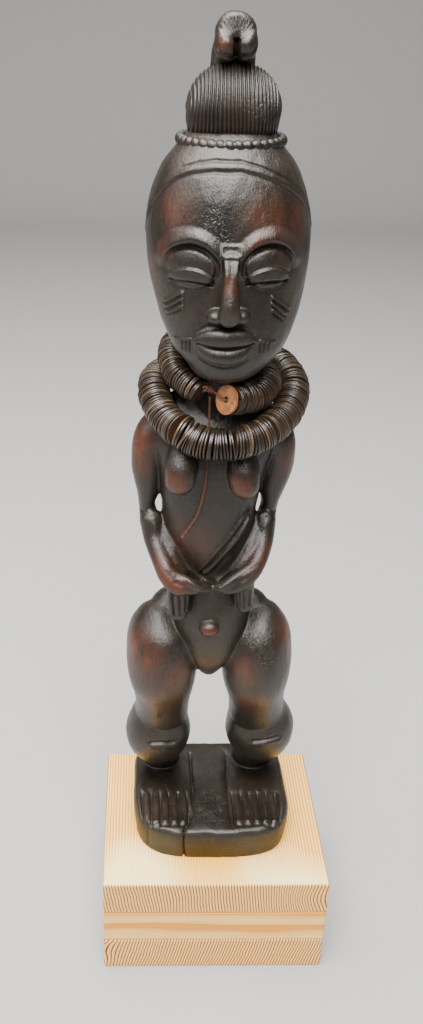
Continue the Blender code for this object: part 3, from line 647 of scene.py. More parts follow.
@dataclass
class Carving:
    """The carved woman on her foot slab, all one piece of wood. Forms are drawn in parts.

    Trunk, neck, head and topknot are level sections: z, middle x, front y, back y and half width.
    Limbs are paths: x, y, z, half width and half depth. Balls are a centre and three radii. Places are a
    centre, a reach and a strength. The voxel is the skin's grain. The finer face is the part of the head that
    keeps its small faces: from and to which z, and in front of which y.
    """

    node: str = "carved_figure"
    voxel: float = 0.52
    softening: int = 13
    triangles: int = 192000
    hair_triangles: int = 34000
    quick_voxel: float = 1.1
    quick_softening: int = 4
    row_steps: int = 5
    level_sides: int = 56
    limb_sides: int = 28
    slab_sides: int = 96
    round_end: tuple[int, ...] = (0, 20, 38, 54, 68, 80)
    finer_face: Triple = (335, 436, -8)

    trunk: Rows = (
        (121.5, -6.8, -4, 16, 3),
        (125.5, -6.8, -10, 22, 7),
        (132, -6.8, -15, 27, 12),
        (139, -6.8, -19, 33, 17.5),
        (150, -7.0, -22, 34, 23),
        (163, -7.4, -25, 33, 24.5),
        (176, -8.0, -25, 31, 23.4),
        (189, -8.2, -22.5, 30, 22.4),
        (203, -8.2, -20.5, 29, 23.2),
        (216, -9.6, -21, 28, 25.4),
        (230, -10.4, -22, 28, 27.2),
        (240, -10.4, -22.4, 28, 27.4),
        (250, -10.3, -22.5, 28, 28.8),
        (260, -10, -22.5, 28, 29.8),
        (273, -9.4, -21.5, 28, 33),
        (284, -9, -19, 28, 36),
        (293, -8.6, -15, 27, 35),
        (299, -8, -11.5, 25, 31.5),
        (304, -7.8, -8, 22, 26),
        (307, -7.6, -5, 17, 18),
    )
    neck: Rows = (
        (284, -8.4, -14, 22, 18),
        (300, -8.6, -12.5, 21, 16.4),
        (318, -8.6, -12.5, 21, 16),
        (342, -7.4, -16, 25, 18),
    )
    head: Rows = (
        (322.5, -8, -23, -8, 6),
        (325, -7.5, -30, -3, 11.5),
        (328.5, -7, -36.5, 4, 16.5),
        (333.5, -6, -39.5, 15, 21.8),
        (341, -5.4, -41, 24, 29),
        (350, -5.3, -41.5, 31, 33.6),
        (361, -5.5, -41, 36, 37.2),
        (375, -6.0, -40, 39.5, 40.2),
        (388, -6.4, -39.5, 41.5, 41.7),
        (400, -6.7, -39, 42, 41.4),
        (411, -7.0, -37, 40.5, 39.6),
        (420, -7.2, -34.5, 38, 36.8),
        (429, -7.4, -30, 34, 32.6),
        (437, -7.2, -22, 28, 26),
        (444, -6.8, -15, 23, 20),
    )
    topknot: Rows = (
        (464, -7.2, 3, 17, 11.2),
        (473, -7.1, 3.5, 16.5, 10.9),
        (481, -7.0, 4, 15, 10.5),
        (489, -6.9, 4, 13, 8),
    )
    slab_middle: tuple[float, float] = (-1.0, 4.5)
    slab_shorter: float = 7.0
    slab_fullness: tuple[float, float] = (3.4, 6)
    slab: Rows = ((-4, 49.5), (3, 50.6), (12, 51.5), (18.5, 51.6), (21.5, 50.4), (22.5, 48.6))
    limbs: tuple[Rows, ...] = (
        (
            (-38, 4, 288, 11, 11),
            (-43.8, 4, 281, 10.2, 11.5),
            (-45.8, 4, 271, 9.4, 11),
            (-46.0, 4, 261, 8.9, 10.5),
            (-45.4, 4, 250, 7.6, 9.5),
            (-46.0, 4, 239, 5.0, 8.5),
            (-44.2, 1, 229, 6.2, 8.2),
        ),
        (
            (21, 4, 288, 11, 11),
            (26.6, 4, 281, 10.2, 11.5),
            (28.4, 4, 271, 9.3, 11),
            (27.4, 4, 261, 9.0, 10.5),
            (25.6, 4, 250, 7.4, 9.5),
            (25.0, 4, 239, 5.0, 8.5),
            (22.8, 1, 229, 6.2, 8.2),
        ),
        (
            (-43.5, -2.5, 231, 6.8, 8.6),
            (-41.5, -8, 222, 6.6, 6.8),
            (-38.2, -16.5, 214, 6.0, 6.0),
            (-34, -24, 207, 6.2, 5.2),
            (-27.5, -27.5, 202.5, 7.0, 4.6),
            (-19, -27, 200, 6.2, 4.2),
            (-12.5, -24.5, 199, 5.0, 3.4),
        ),
        (
            (22.3, -2.5, 231, 6.6, 8.6),
            (21.2, -8, 223, 6.2, 6.6),
            (19, -15.5, 216, 5.8, 5.8),
            (14.5, -22.5, 210, 5.8, 5.0),
            (7.5, -26, 204.5, 6.4, 4.6),
            (0.5, -26.5, 200.5, 5.6, 4.2),
            (-5, -24.5, 198.5, 4.6, 3.4),
        ),
        ((-27.6, -24, 201, 7.0, 4.6), (-27.8, -24, 191, 6.4, 4.2), (-27.4, -24, 179, 5.4, 3.4)),
        ((9.2, -23, 204, 7.2, 4.4), (10.6, -23, 195, 5.4, 3.8), (11, -22.6, 184, 4.2, 3.2)),
        (
            (-27, -14, 287, 5.5, 5),
            (-27.6, -18, 281, 7.8, 7.4),
            (-28.2, -21.5, 273, 9.2, 9.4),
            (-28.6, -23.5, 266.5, 8.4, 8.6),
        ),
        (
            (5.0, -14, 285, 5.5, 5),
            (5.4, -18, 279, 7.8, 7.4),
            (6.0, -21.5, 271, 9.2, 9.4),
            (6.6, -23.5, 264.5, 8.4, 8.6),
        ),
        (
            (-37.5, -1, 230.5, 4.6, 6),
            (-34.8, -8, 221, 5.6, 7),
            (-31, -13, 212, 6.2, 7.5),
            (-27, -16, 204, 6, 7),
        ),
        ((17.5, -1, 231, 4.4, 6), (15.6, -8, 222, 5.4, 7), (12, -13, 213, 6.2, 7.5), (7.5, -16, 206, 6, 7)),
        (
            (-31, 9, 163, 13, 14.5),
            (-33.8, 6, 157, 18.6, 22.5),
            (-35.5, 3, 149, 21.8, 27),
            (-35.8, -1, 137, 22.3, 26.5),
            (-35.4, -2, 124, 21.4, 24),
            (-34.8, 1, 110, 19.0, 20),
            (-34.6, 5, 97, 17.4, 17.5),
            (-34.8, 9, 86, 17.6, 17),
        ),
        (
            (17.8, 9, 163, 13, 14.5),
            (20.8, 6, 157, 18.2, 22.5),
            (22.4, 3, 149, 21.4, 27),
            (23.0, -1, 137, 21.8, 26.5),
            (23.2, -2, 124, 21.0, 24),
            (24.4, 1, 110, 18.8, 20),
            (25.8, 5, 97, 17.6, 17.5),
            (26.8, 9, 86, 18.0, 17),
        ),
        (
            (-34.8, 10, 84, 16.6, 16),
            (-36.0, 12, 76, 19.6, 19),
            (-36.6, 13.5, 66, 21.6, 20.5),
            (-36.8, 16, 56, 20.6, 19.5),
            (-36.0, 21, 46, 17.0, 16),
            (-34.4, 27, 36, 13.8, 13.2),
            (-34.0, 31.5, 27, 12.6, 12.2),
            (-33.6, 33.5, 19, 12.4, 12.0),
        ),
        (
            (26.8, 10, 86, 17.4, 16),
            (28.6, 12, 78, 20.6, 19),
            (30.6, 13.5, 68, 22.8, 20.5),
            (31.2, 16, 58, 21.6, 19.5),
            (30.8, 21, 48, 18.2, 16),
            (30.0, 27, 38, 15.2, 13.5),
            (29.4, 31.5, 28, 13.0, 12.2),
            (29.4, 33.5, 19, 12.8, 12.0),
        ),
        (
            (-8.0, -39.4, 392, 4.4, 3.4),
            (-8.1, -42.0, 386, 3.9, 4.2),
            (-8.2, -44.4, 378, 4.1, 5.0),
            (-8.2, -46.4, 370, 4.8, 5.6),
            (-8.2, -46.4, 365, 5.4, 4.8),
        ),
    )
    upper_lip: Rows = (
        (-24, -38.3, 350.4, 2.4, 1.6),
        (-17, -42.2, 353.0, 4.4, 3.0),
        (-9, -43.9, 353.4, 4.9, 3.6),
        (-1.2, -42.4, 353.2, 4.4, 3.0),
        (6.2, -38.3, 351.0, 2.4, 1.6),
    )
    lower_lip: Rows = (
        (-23, -38.2, 348.2, 2.0, 1.5),
        (-16, -41.8, 345.0, 3.9, 3.0),
        (-9, -43.2, 344.2, 4.4, 3.5),
        (-2, -42.0, 345.2, 3.9, 3.0),
        (5, -38.2, 348.6, 2.0, 1.5),
    )
    balls: tuple = (
        ((-26, 21, 146), (20, 20, 24)),
        ((13, 21, 146), (20, 20, 24)),
        ((-30, 11, 272), (14, 12, 19)),
        ((11.5, 11, 272), (14, 12, 19)),
        ((-14.2, -41.8, 363.8), (4.7, 5.2, 3.8)),
        ((-2.2, -41.8, 364.0), (4.7, 5.2, 3.8)),
        ((-9.3, -26, 171), (6.0, 5, 4.8)),
        ((-6.9, 3, 487.4), (10.0, 9.5, 9.4)),
        ((-11.4, 0.5, 482.5), (6.0, 8.0, 8.6)),
        ((-2.4, 0.5, 483.0), (6.0, 8.0, 8.6)),
    )
    eyes: Rows = ((-26.8, 386.5), (10.6, 387.4))
    eye: EyeShape = EyeShape()
    nose_block: tuple[float, float, float, float] = (-12.9, -2.9, 392.6, 398.4)
    head_middle: tuple[float, float] = (-7.2, 2.0)
    hairline: Rows = (
        (-180, 356),
        (-140, 366),
        (-110, 384),
        (-84, 401.4),
        (-72.5, 411.8),
        (-61.6, 418.9),
        (-49.3, 424.9),
        (-35.8, 428.1),
        (-18, 429.6),
        (6, 429.7),
        (21.7, 427.6),
        (33.9, 424.9),
        (48.5, 420.1),
        (62.3, 413.9),
        (74, 404.4),
        (92, 392),
        (112, 379),
        (140, 366),
        (180, 356),
    )
    bun_middle: tuple[float, float, float] = (-6.2, 6, 452)
    bun_radii: tuple[float, float, float] = (23.4, 21.5, 22.5)
    bun_ribs: int = 25
    bun_sides: int = 64
    bun_end: float = 0.985
    bun_fullness: float = 2.7
    rib_depth: float = 0.06
    steps_in_a_rib: int = 7
    band_middle: tuple[float, float, float] = (-6.8, 5, 439.6)
    band_radii: tuple[float, float] = (24.9, 23.8)
    band_beads: int = 36
    band_thickness: float = 5.8
    band_sides: int = 14
    above_slab: float = 24
    wear_places: Rows = (
        (-52, 0, 276, 19, 1.0),
        (34, 0, 272, 17, 0.7),
        (-34, -32, 266, 11, 0.6),
        (2, -32, 264, 11, 0.6),
        (-38, -24, 212, 11, 0.75),
        (-33, -30, 203, 11, 0.95),
        (20, -20, 216, 12, 0.75),
        (-24, -22, 224, 19, 0.5),
        (-50, -14, 142, 21, 0.9),
        (-26, -26, 134, 13, 0.7),
        (45, -4, 152, 19, 0.9),
        (14, -24, 138, 12, 0.7),
        (18, -18, 112, 12, 0.8),
        (-38, -18, 114, 18, 0.85),
        (-52, 14, 44, 15, 1.0),
        (48, 14, 46, 15, 0.9),
        (-30, 0, 92, 12, 0.5),
        (-37, -26, 411, 15, 0.75),
        (8, -32, 408, 13, 0.8),
        (24, -24, 406, 12, 0.6),
        (-40, -24, 393, 8, 0.9),
        (3, -40, 400, 7, 0.7),
        (-46, -12, 380, 12, 0.9),
        (-43, -18, 362, 10, 0.7),
        (33, -14, 378, 12, 0.7),
        (-9.5, -50, 381, 7, 0.7),
        (-16, -8, 484, 7, 0.5),
        (-27, -10, 448, 9, 0.2),
        (-9.3, -30, 168, 8, 0.7),
        (-8, -24, 140, 10, 0.6),
        (-8, 40, 268, 18, 0.4),
        (-30, 38, 146, 16, 0.6),
        (16, 38, 146, 16, 0.6),
    )
    pitted_places: Rows = (
        (-37.7, -26.1, 144.8, 5, 0.9),
        (-32, -26, 137, 7, 1.0),
        (21, -22, 158, 8, 0.7),
        (27, -25, 146, 10, 1.0),
        (-16.5, -36, 409.5, 6, 1.0),
        (-12, -38, 402, 5, 0.8),
        (8, -37, 411, 4, 0.6),
        (-42, -5, 77, 7, 0.8),
        (40, -4, 78, 7, 0.7),
        (6, -16, 455, 9, 0.7),
        (-5, -20, 22, 20, 0.5),
        (-40, -22, 174, 8, 0.4),
    )

    def __post_init__(self) -> None:
        """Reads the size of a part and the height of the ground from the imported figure."""
        low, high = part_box(self.node)
        self.ground = low.z
        self.part = (high.z - low.z) / 496.95

    def stack(self, bm: bmesh.types.BMesh, rows: Rows, fullness: float = 2.0) -> None:
        """A form of level sections.

        Args:
            bm: the mesh that gets it.
            rows: z, middle x, front y, back y and half width.
            fullness: 2 for ovals, more for squarer sections.
        """
        power = 2 / fullness
        rings = []
        for z, x, front, back, half in blended(rows, self.row_steps):
            middle, depth = (front + back) / 2, (back - front) / 2
            ring = []
            for turn in np.arange(self.level_sides) * math.tau / self.level_sides:
                east, north = math.cos(turn), math.sin(turn)
                side = x + half * math.copysign(abs(east) ** power, east)
                ring.append((side, middle + depth * math.copysign(abs(north) ** power, north), z))
            rings.append(ring)
        loft(bm, rings)

    def ball(self, bm: bmesh.types.BMesh, centre: tuple, radii: tuple) -> None:
        """An ellipsoid."""
        matrix = Matrix.Translation(centre) @ Matrix.Diagonal((*radii, 1))
        bmesh.ops.create_uvsphere(bm, u_segments=36, v_segments=22, radius=1, matrix=matrix)

    def limb(self, bm: bmesh.types.BMesh, rows: Rows, across: Vector) -> None:
        """A round-ended form along a path.

        Args:
            bm: the mesh that gets it.
            rows: x, y, z, half width and half depth.
            across: the direction that the width is measured in.
        """
        fine = blended(rows, self.row_steps)
        tangents = np.gradient(fine[:, :3], axis=0)
        ends = {0: -1, len(fine) - 1: 1}
        rings = []
        for place, (row, tangent) in enumerate(zip(fine, tangents)):
            along = Vector(tangent).normalized()
            wide, deep = float(row[3]), float(row[4])
            way = ends.get(place, 1)
            for turn in self.round_end[::way] if place in ends else (0,):
                centre = Vector(row[:3]) + along * way * min(wide, deep) * math.sin(math.radians(turn))
                share = math.cos(math.radians(turn))
                rings.append(ring_round(centre, along, across, wide * share, deep * share, self.limb_sides))
        loft(bm, rings)

    def slab_form(self, bm: bmesh.types.BMesh) -> None:
        """The foot slab: an oval front of large radius, a squarer back and soft edges."""
        rings = []
        for z, half in self.slab:
            ring = []
            for turn in np.arange(self.slab_sides) * math.tau / self.slab_sides:
                east, north = math.cos(turn), math.sin(turn)
                power = 2 / self.slab_fullness[0 if north < 0 else 1]
                depth = half - self.slab_shorter
                side = self.slab_middle[0] + half * math.copysign(abs(east) ** power, east)
                away = self.slab_middle[1] + depth * math.copysign(abs(north) ** power, north)
                ring.append((side, away, z))
            rings.append(ring)
        loft(bm, rings)

    def rough_forms(self) -> bmesh.types.BMesh:
        """Every form but the bun and its band, as overlapping closed shapes."""
        bm = bmesh.new()
        self.slab_form(bm)
        self.stack(bm, self.trunk, 2.3)
        self.stack(bm, self.neck)
        self.stack(bm, self.head, 2.15)
        self.stack(bm, self.topknot, 3)
        for rows in self.limbs:
            self.limb(bm, rows, Vector((1, 0, 0)))
        for rows in (self.upper_lip, self.lower_lip):
            self.limb(bm, rows, Vector((0, 0, 1)))
        for centre, radii in self.balls:
            self.ball(bm, centre, radii)
        return bm

    def face_strokes(self) -> list[Stroke]:
        """Lines on the head's front: lips, marks of the mouth and cheeks, and the topknot's folds."""
        head = Cut.HEAD_FRONT
        lip_edge = ((-23, 355.2), (-18.6, 358.2), (-13.5, 359.4), (-9.3, 358.6), (-3.9, 359.4), (1.6, 358.0))
        lines = (
            (((-22.5, 349.6), (-16, 349.0), (-9.5, 348.6), (-2.7, 349.0), (4.8, 350.0)), 1.2, -1.5),
            ((*lip_edge, (5.2, 355)), 1.3, -0.5),
            (((-21, 341.5), (-15, 338.6), (-9.5, 337.8), (-4, 338.6), (2.5, 341.8)), 1.8, -0.5),
            (((-33.2, 348.2), (-26, 350.4)), 1.2, 1.2),
            (((8.4, 351.2), (16, 349.2)), 1.2, 1.2),
            (((-30.2, 373.9), (-30.0, 366.0)), 1.0, 0.7),
            (((13.1, 373.0), (13.3, 366.2)), 1.0, 0.5),
            (((-6.9, 466), (-6.9, 484)), 2.1, -5.5),
            (((-17.5, 483.5), (-13.5, 478.6), (-9.2, 477.0)), 1.2, -1.2),
            (((3.7, 483.5), (-0.3, 478.6), (-4.6, 477.0)), 1.2, -1.2),
        )
        strokes = [Stroke(head, *line) for line in lines]
        for x in (-29.6, -27.9, -26.2):
            strokes.append(Stroke(head, ((x, 348.4), (x + 0.1, 343.4)), 0.8, -1.0))
        for x in (8.6, 10.8, 13.0):
            strokes.append(Stroke(head, ((x, 349.6), (x + 0.2, 345.6)), 0.8, -0.9))
        left = (
            ((-39.0, 366.6), (-31.2, 373.2)),
            ((-38.4, 363.6), (-31.0, 370.0)),
            ((-37.0, 361.2), (-30.8, 366.6)),
        )
        right = (
            ((13.7, 372.3), (22.8, 365.2)),
            ((13.4, 369.4), (21.1, 362.8)),
            ((14.2, 366.0), (19.6, 361.4)),
        )
        for marks, height in ((left, 1.5), (right, 1.4)):
            for mark in marks:
                strokes.append(Stroke(head, mark, 1.3, height))
                strokes.append(Stroke(head, shifted(mark, -0.2, -1.6), 0.8, -0.8))
        for share in np.linspace(-1, 1, 11):
            foot = (-6.9 + 0.8 * share, 484.0)
            strokes.append(Stroke(head, (foot, (-6.9 + 8.4 * share, 494.5 - 4.5 * share**2)), 0.7, -0.45))
        return strokes

    def body_strokes(self) -> list[Stroke]:
        """Lines on the trunk, the hands and the legs."""
        body = Cut.BODY_FRONT
        lines = (
            (((11.5, 243.5), (8.0, 240.5), (1.1, 230.6), (-8.2, 218.6), (-15.9, 207.0)), 1.6, 1.6),
            (((11.9, 238.0), (5.4, 227.4), (-3.2, 217.4), (-12.6, 205.2)), 1.6, 1.5),
            (((11.2, 241.0), (2.8, 228.6), (-5.8, 217.8), (-13.4, 207.0)), 1.2, -1.2),
            (((-42.0, 68.0), (-35.0, 68.9), (-27.3, 67.2)), 1.5, -2.4),
            (((-42.5, 65.4), (-35.0, 65.8), (-26.6, 64.8)), 1.6, 0.8),
            (((24.5, 69.2), (32.2, 71.0), (41.6, 71.9)), 1.5, -2.4),
            (((24.2, 66.4), (32.4, 68.0), (42.0, 68.8)), 1.6, 0.8),
            (((-49.5, 236.4), (-44.0, 237.2), (-38.0, 236.2)), 1.6, -1.3),
            (((20.0, 236.2), (25.0, 237.0), (31.5, 237.0)), 1.6, -1.3),
            (((-34.3, 212.2), (-28.6, 210.6), (-22.1, 207.0), (-13.8, 200.8)), 1.7, 0.9),
            (((-30.5, 206.0), (-24.0, 203.0), (-16.0, 197.6)), 1.3, -0.8),
            (((14.5, 215.0), (9.8, 213.2), (3.1, 207.4), (-5.5, 200.4)), 1.7, 0.9),
            (((12.0, 208.6), (5.8, 204.4), (-1.5, 198.4)), 1.3, -0.8),
            (((-16.8, 200.5), (-9.8, 203.4), (-3.2, 200.5)), 1.3, 0.5),
            (((-14.6, 170.5), (-9.3, 165.0), (-4.0, 170.5)), 1.2, -0.6),
        )
        strokes = [Stroke(body, *line) for line in lines]
        left = (((-31.6, 196), (-30.0, 181)), ((-27.6, 196), (-26.6, 180)), ((-23.6, 196.5), (-23.4, 183)))
        right = (((6.4, 197), (8.0, 186)), ((10.0, 197), (10.8, 185)), ((13.4, 197), (13.4, 187)))
        for fingers, reach, height in ((left, 1.1, -1.6), (right, 1.0, -1.1)):
            strokes += [Stroke(body, line, reach, height) for line in fingers]
        return strokes

    def slab_strokes(self) -> list[Stroke]:
        """Lines on the slab: toes, the panel between the feet, tool marks and the cracks."""
        top = Cut.SLAB_TOP
        strokes = [
            Stroke(top, ((-13.4, 36), (-13.2, 10), (-14.4, -14), (-17.6, -27), (-20.8, -39)), 1.3, -1.3),
            Stroke(top, ((12.2, 36), (10.6, 10), (10.2, -28), (10.4, -34)), 1.4, -1.0),
            Stroke(top, ((-13.0, 2), (-13.6, -20), (-19.1, -33), (-20.4, -40)), 0.8, -1.8),
            Stroke(Cut.SLAB_EDGE, ((-20.3, 23), (-20.8, 14), (-20.0, 6), (-20.2, -2)), 0.95, -2.6),
            Stroke(Cut.SLAB_EDGE, ((-43.6, 19), (-43.2, 11), (-43.6, 3)), 0.7, -0.8),
        ]
        for left, right in ((-47.4, -17.2), (13.0, 42.0)):
            edges = np.linspace(left, right, 6)
            for x in edges:
                strokes.append(Stroke(top, ((x, -3.5), (x + 0.4, -18), (x, -31.5)), 1.35, -1.9))
            strokes.append(Stroke(top, ((left, -32.6), (right, -32.6)), 1.3, -1.1))
            for x in (edges[1:] + edges[:-1]) / 2:
                strokes.append(Stroke(top, ((x - 1.3, -29.4), (x + 1.3, -29.4)), 1.5, 1.0))
        for x, y in ((-9, -8), (-6, -14), (-10, -22), (-3, -6), (1, -12), (-6, -27), (2, -24), (5, -17)):
            strokes.append(Stroke(top, ((x, y), (x + 3.4, y + 4.4)), 0.7, -0.5))
        return strokes

    def eye_relief(self, flat: np.ndarray) -> np.ndarray:
        """How far the eyes and the little block between the brows stand out.

        Args:
            flat: x and z of each point.

        Returns:
            The height of each point in parts.
        """
        height = np.zeros(len(flat))
        for (x, z), inner in zip(self.eyes, (1, -1)):
            height += self.eye.height(flat[:, 0] - x, flat[:, 1] - z, inner)
        left, right, low, high = self.nose_block
        return height + plateau(flat[:, 0], left, right, 1.7) * plateau(flat[:, 1], low, high, 1.7)

    def hair_relief(self, points: np.ndarray) -> np.ndarray:
        """The grooves of the hairline and the slightly raised cap above them.

        Args:
            points: places in parts.

        Returns:
            The height of each point, along its normal.
        """
        off = points[:, :2] - np.array(self.head_middle)
        angle = np.degrees(np.arctan2(off[:, 0], -off[:, 1]))
        places, levels = np.array(self.hairline).T
        level = points[:, 2] - np.interp(angle, places, levels)
        height = -0.85 * bump(np.abs(level), 1.7)
        height += 0.55 * np.clip(level / 2.0, 0, 1)
        shown = np.clip((angle + 56) / 14, 0, 1) * np.clip((84 - angle) / 14, 0, 1)
        height -= 0.8 * shown * bump(np.abs(level - 4.0 - 0.012 * np.abs(angle)), 1.1)
        return height * (points[:, 2] > 345)

    def unevenness(self, points: np.ndarray) -> np.ndarray:
        """The gentle waves of a surface shaped by hand, from a few fixed ripples."""
        chance = np.random.default_rng(11)
        height = np.zeros(len(points))
        for length in (34, 26, 19, 15, 12, 9.5, 8, 7):
            way = chance.normal(size=3)
            way *= math.tau / length / np.linalg.norm(way)
            height += 0.011 * length**0.6 * np.sin(points @ way + chance.uniform(0, math.tau))
        return height

    def carve(self, points: np.ndarray, normals: np.ndarray) -> np.ndarray:
        """Every cut and raised line worked into the smooth forms.

        Args:
            points: places in parts.
            normals: the surface's directions there.

        Returns:
            The new places.
        """
        moved = points.copy()
        forward = np.clip((-normals[:, 1] - 0.12) / 0.35, 0, 1)
        upward = np.clip((normals[:, 2] - 0.3) / 0.4, 0, 1)
        x, y, z = points.T
        weights = {
            Cut.HEAD_FRONT: forward * (z > 326) * (y < 14),
            Cut.BODY_FRONT: forward * (z < 300) * (z > 24),
            Cut.SLAB_TOP: upward * (z < 23.5) * (z > 15),
            Cut.SLAB_EDGE: forward * (z < 22.3) * (y < -20),
        }
        for stroke in self.face_strokes() + self.body_strokes() + self.slab_strokes():
            columns = [0, 1] if stroke.cut is Cut.SLAB_TOP else [0, 2]
            distance = distance_to(points[:, columns], stroke.route, stroke.reach)
            height = weights[stroke.cut] * stroke.height * bump(distance, stroke.reach)
            if stroke.cut is Cut.SLAB_TOP:
                moved[:, 2] += height
            else:
                moved[:, 1] -= height
        face = weights[Cut.HEAD_FRONT] * (z < 440)
        moved[:, 1] -= face * self.eye_relief(points[:, [0, 2]])
        topknot_cup = np.hypot((x + 6.9) / 8.6, (z - 489.5) / 6.0)
        moved[:, 1] += weights[Cut.HEAD_FRONT] * 2.6 * np.clip(1 - topknot_cup**2, 0, 1)
        grooves = self.hair_relief(points) * (z < 447)
        spine = -1.1 * bump(np.abs(x + 8.4), 4.0) * plateau(z, 176, 290, 20) * np.clip(normals[:, 1], 0, 1)
        low_edge = plateau(z, 3, 23, 6) * (0.45 * np.sin(x * 0.21) + 0.2 * np.sin(x * 0.47 + 1)) * (y < -20)
        lift = grooves + spine + self.unevenness(points) + low_edge * np.abs(normals[:, 1])
        return moved + lift[:, None] * normals

    def bun_rings(self) -> list:
        """The bun's rings across X, whose width swells and falls once for every rib."""
        x, y, z = self.bun_middle
        stations = self.steps_in_a_rib * self.bun_ribs
        rings = []
        for k in range(stations + 1):
            share = -self.bun_end + 2 * self.bun_end * k / stations
            swell = math.sqrt(1 - abs(share) ** self.bun_fullness)
            ring = []
            for turn in np.arange(self.bun_sides) * math.tau / self.bun_sides:
                north, up = math.cos(turn), math.sin(turn)
                drift = 0.5 * math.sin(share * 9 + 1.3 * math.sin(turn))
                drift += 0.35 * math.sin(3 * turn + 4 * share)
                groove = 1 - abs(math.sin(math.pi * k / self.steps_in_a_rib + drift * 0.6))
                rub = bump(math.hypot((share - 0.42) / 0.34, (turn - 2.85) / 0.42), 1.0)
                size = swell - self.rib_depth * groove**1.3 * (1 - 0.8 * rub) - 0.02 * rub
                ring.append(
                    (
                        x + self.bun_radii[0] * share + 0.35 * math.sin(2 * turn + 3 * share),
                        y + self.bun_radii[1] * size * north,
                        z + self.bun_radii[2] * size * up,
                    )
                )
            rings.append(ring)
        return rings

    def band_rings(self) -> list:
        """The band's rings round the crown, each bead a twist that leans."""
        x, y, z = self.band_middle
        stations = self.steps_in_a_rib * self.band_beads
        rings = []
        for k in range(stations):
            angle = math.tau * k / stations
            out = Vector((math.cos(angle), math.sin(angle), 0))
            centre = Vector((x + self.band_radii[0] * out.x, y + self.band_radii[1] * out.y, z))
            ring = []
            for turn in np.arange(self.band_sides) * math.tau / self.band_sides:
                lean = 0.55 * math.sin(turn)
                groove = 1 - abs(math.sin(math.pi * k / self.steps_in_a_rib + lean))
                radius = self.band_thickness / 2 * (1.0 - 0.3 * groove**1.4)
                ring.append(centre + radius * (out * math.cos(turn) + Vector((0, 0, math.sin(turn)))))
            rings.append(ring)
        return rings

    def to_metres(self) -> Matrix:
        """The step from parts above the figure's underside to metres above the floor."""
        return Matrix.Translation((0, 0, self.ground)) @ Matrix.Scale(self.part, 4)

    def skin(self) -> bpy.types.Object:
        """The forms under one skin, carved and reduced, with a flat underside."""
        bm = self.rough_forms()
        bmesh.ops.transform(bm, matrix=self.to_metres(), verts=bm.verts)
        item = piece_from("carved_woman", bm)
        remesh = item.modifiers.new("one skin", "REMESH")
        remesh.mode = "VOXEL"
        remesh.voxel_size = self.part * self.voxel
        smooth = item.modifiers.new("soften", "SMOOTH")
        smooth.iterations = self.softening
        mesh = apply_modifiers(item)
        base = np.array((0, 0, self.ground))
        points = (read_points(mesh) - base) / self.part
        carved = self.carve(points, read_points(mesh, "normal"))
        mesh.vertices.foreach_set("co", (carved * self.part + base).ravel())
        mesh.update()
        low, high, back = self.finer_face
        plain = np.nonzero((points[:, 2] < low) | (points[:, 1] > back) | (points[:, 2] > high))[0]
        item.vertex_groups.new(name="plainer wood").add(plain.tolist(), 1.0, "REPLACE")
        reduce = item.modifiers.new("fewer faces", "DECIMATE")
        reduce.ratio = min(1.0, (self.triangles - self.hair_triangles) / (2 * len(mesh.polygons)))
        reduce.vertex_group = "plainer wood"
        reduce.vertex_group_factor = 0.00001
        mesh = apply_modifiers(item)
        item.vertex_groups.clear()
        bm = bmesh.new()
        bm.from_mesh(mesh)
        bmesh.ops.bisect_plane(
            bm,
            geom=bm.verts[:] + bm.edges[:] + bm.faces[:],
            plane_co=(0, 0, self.ground),
            plane_no=(0, 0, 1),
            dist=1e-7,
            clear_inner=True,
        )
        bmesh.ops.holes_fill(bm, edges=[edge for edge in bm.edges if edge.is_boundary], sides=0)
        self.add_hair(bm)
        bmesh.ops.triangulate(bm, faces=[face for face in bm.faces if len(face.verts) > 4])
        bm.to_mesh(mesh)
        bm.free()
        mesh.shade_smooth()
        return item

    def add_hair(self, bm: bmesh.types.BMesh) -> None:
        """Puts the bun and its band on the head, as the same wood."""
        hair = bmesh.new()
        loft(hair, self.bun_rings())
        loft(hair, self.band_rings(), closed=True)
        bmesh.ops.recalc_face_normals(hair, faces=hair.faces)
        bmesh.ops.transform(hair, matrix=self.to_metres(), verts=hair.verts)
        spare = bpy.data.meshes.new("hair")
        hair.to_mesh(spare)
        hair.free()
        bm.from_mesh(spare)

    def mark_wear(self, mesh: bpy.types.Mesh) -> None:
        """Gives each point of the mesh its share of rubbing, painted shade, dust and pits.

        Args:
            mesh: the finished mesh.
        """
        places = (read_points(mesh) - np.array((0, 0, self.ground))) / self.part
        normals = read_points(mesh, "normal")
        edges = np.empty(len(mesh.edges) * 2, int)
        mesh.edges.foreach_get("vertices", edges)
        first, second = edges.reshape(-1, 2).T
        count = np.bincount(edges, minlength=len(places)).clip(1)

        def averaged(values: np.ndarray) -> np.ndarray:
            """Each point's mean over its neighbours."""
            total = np.bincount(first, values[second], len(places))
            return (total + np.bincount(second, values[first], len(places))) / count

        def strongest(spots: Rows, spread: float) -> np.ndarray:
            """The share that the strongest of some round spots gives each point."""
            shares = np.zeros(len(places))
            for *middle, reach, share in spots:
                distance = np.linalg.norm(places - middle, axis=1)
                shares = np.maximum(shares, share * bump(distance, reach * spread))
            return shares

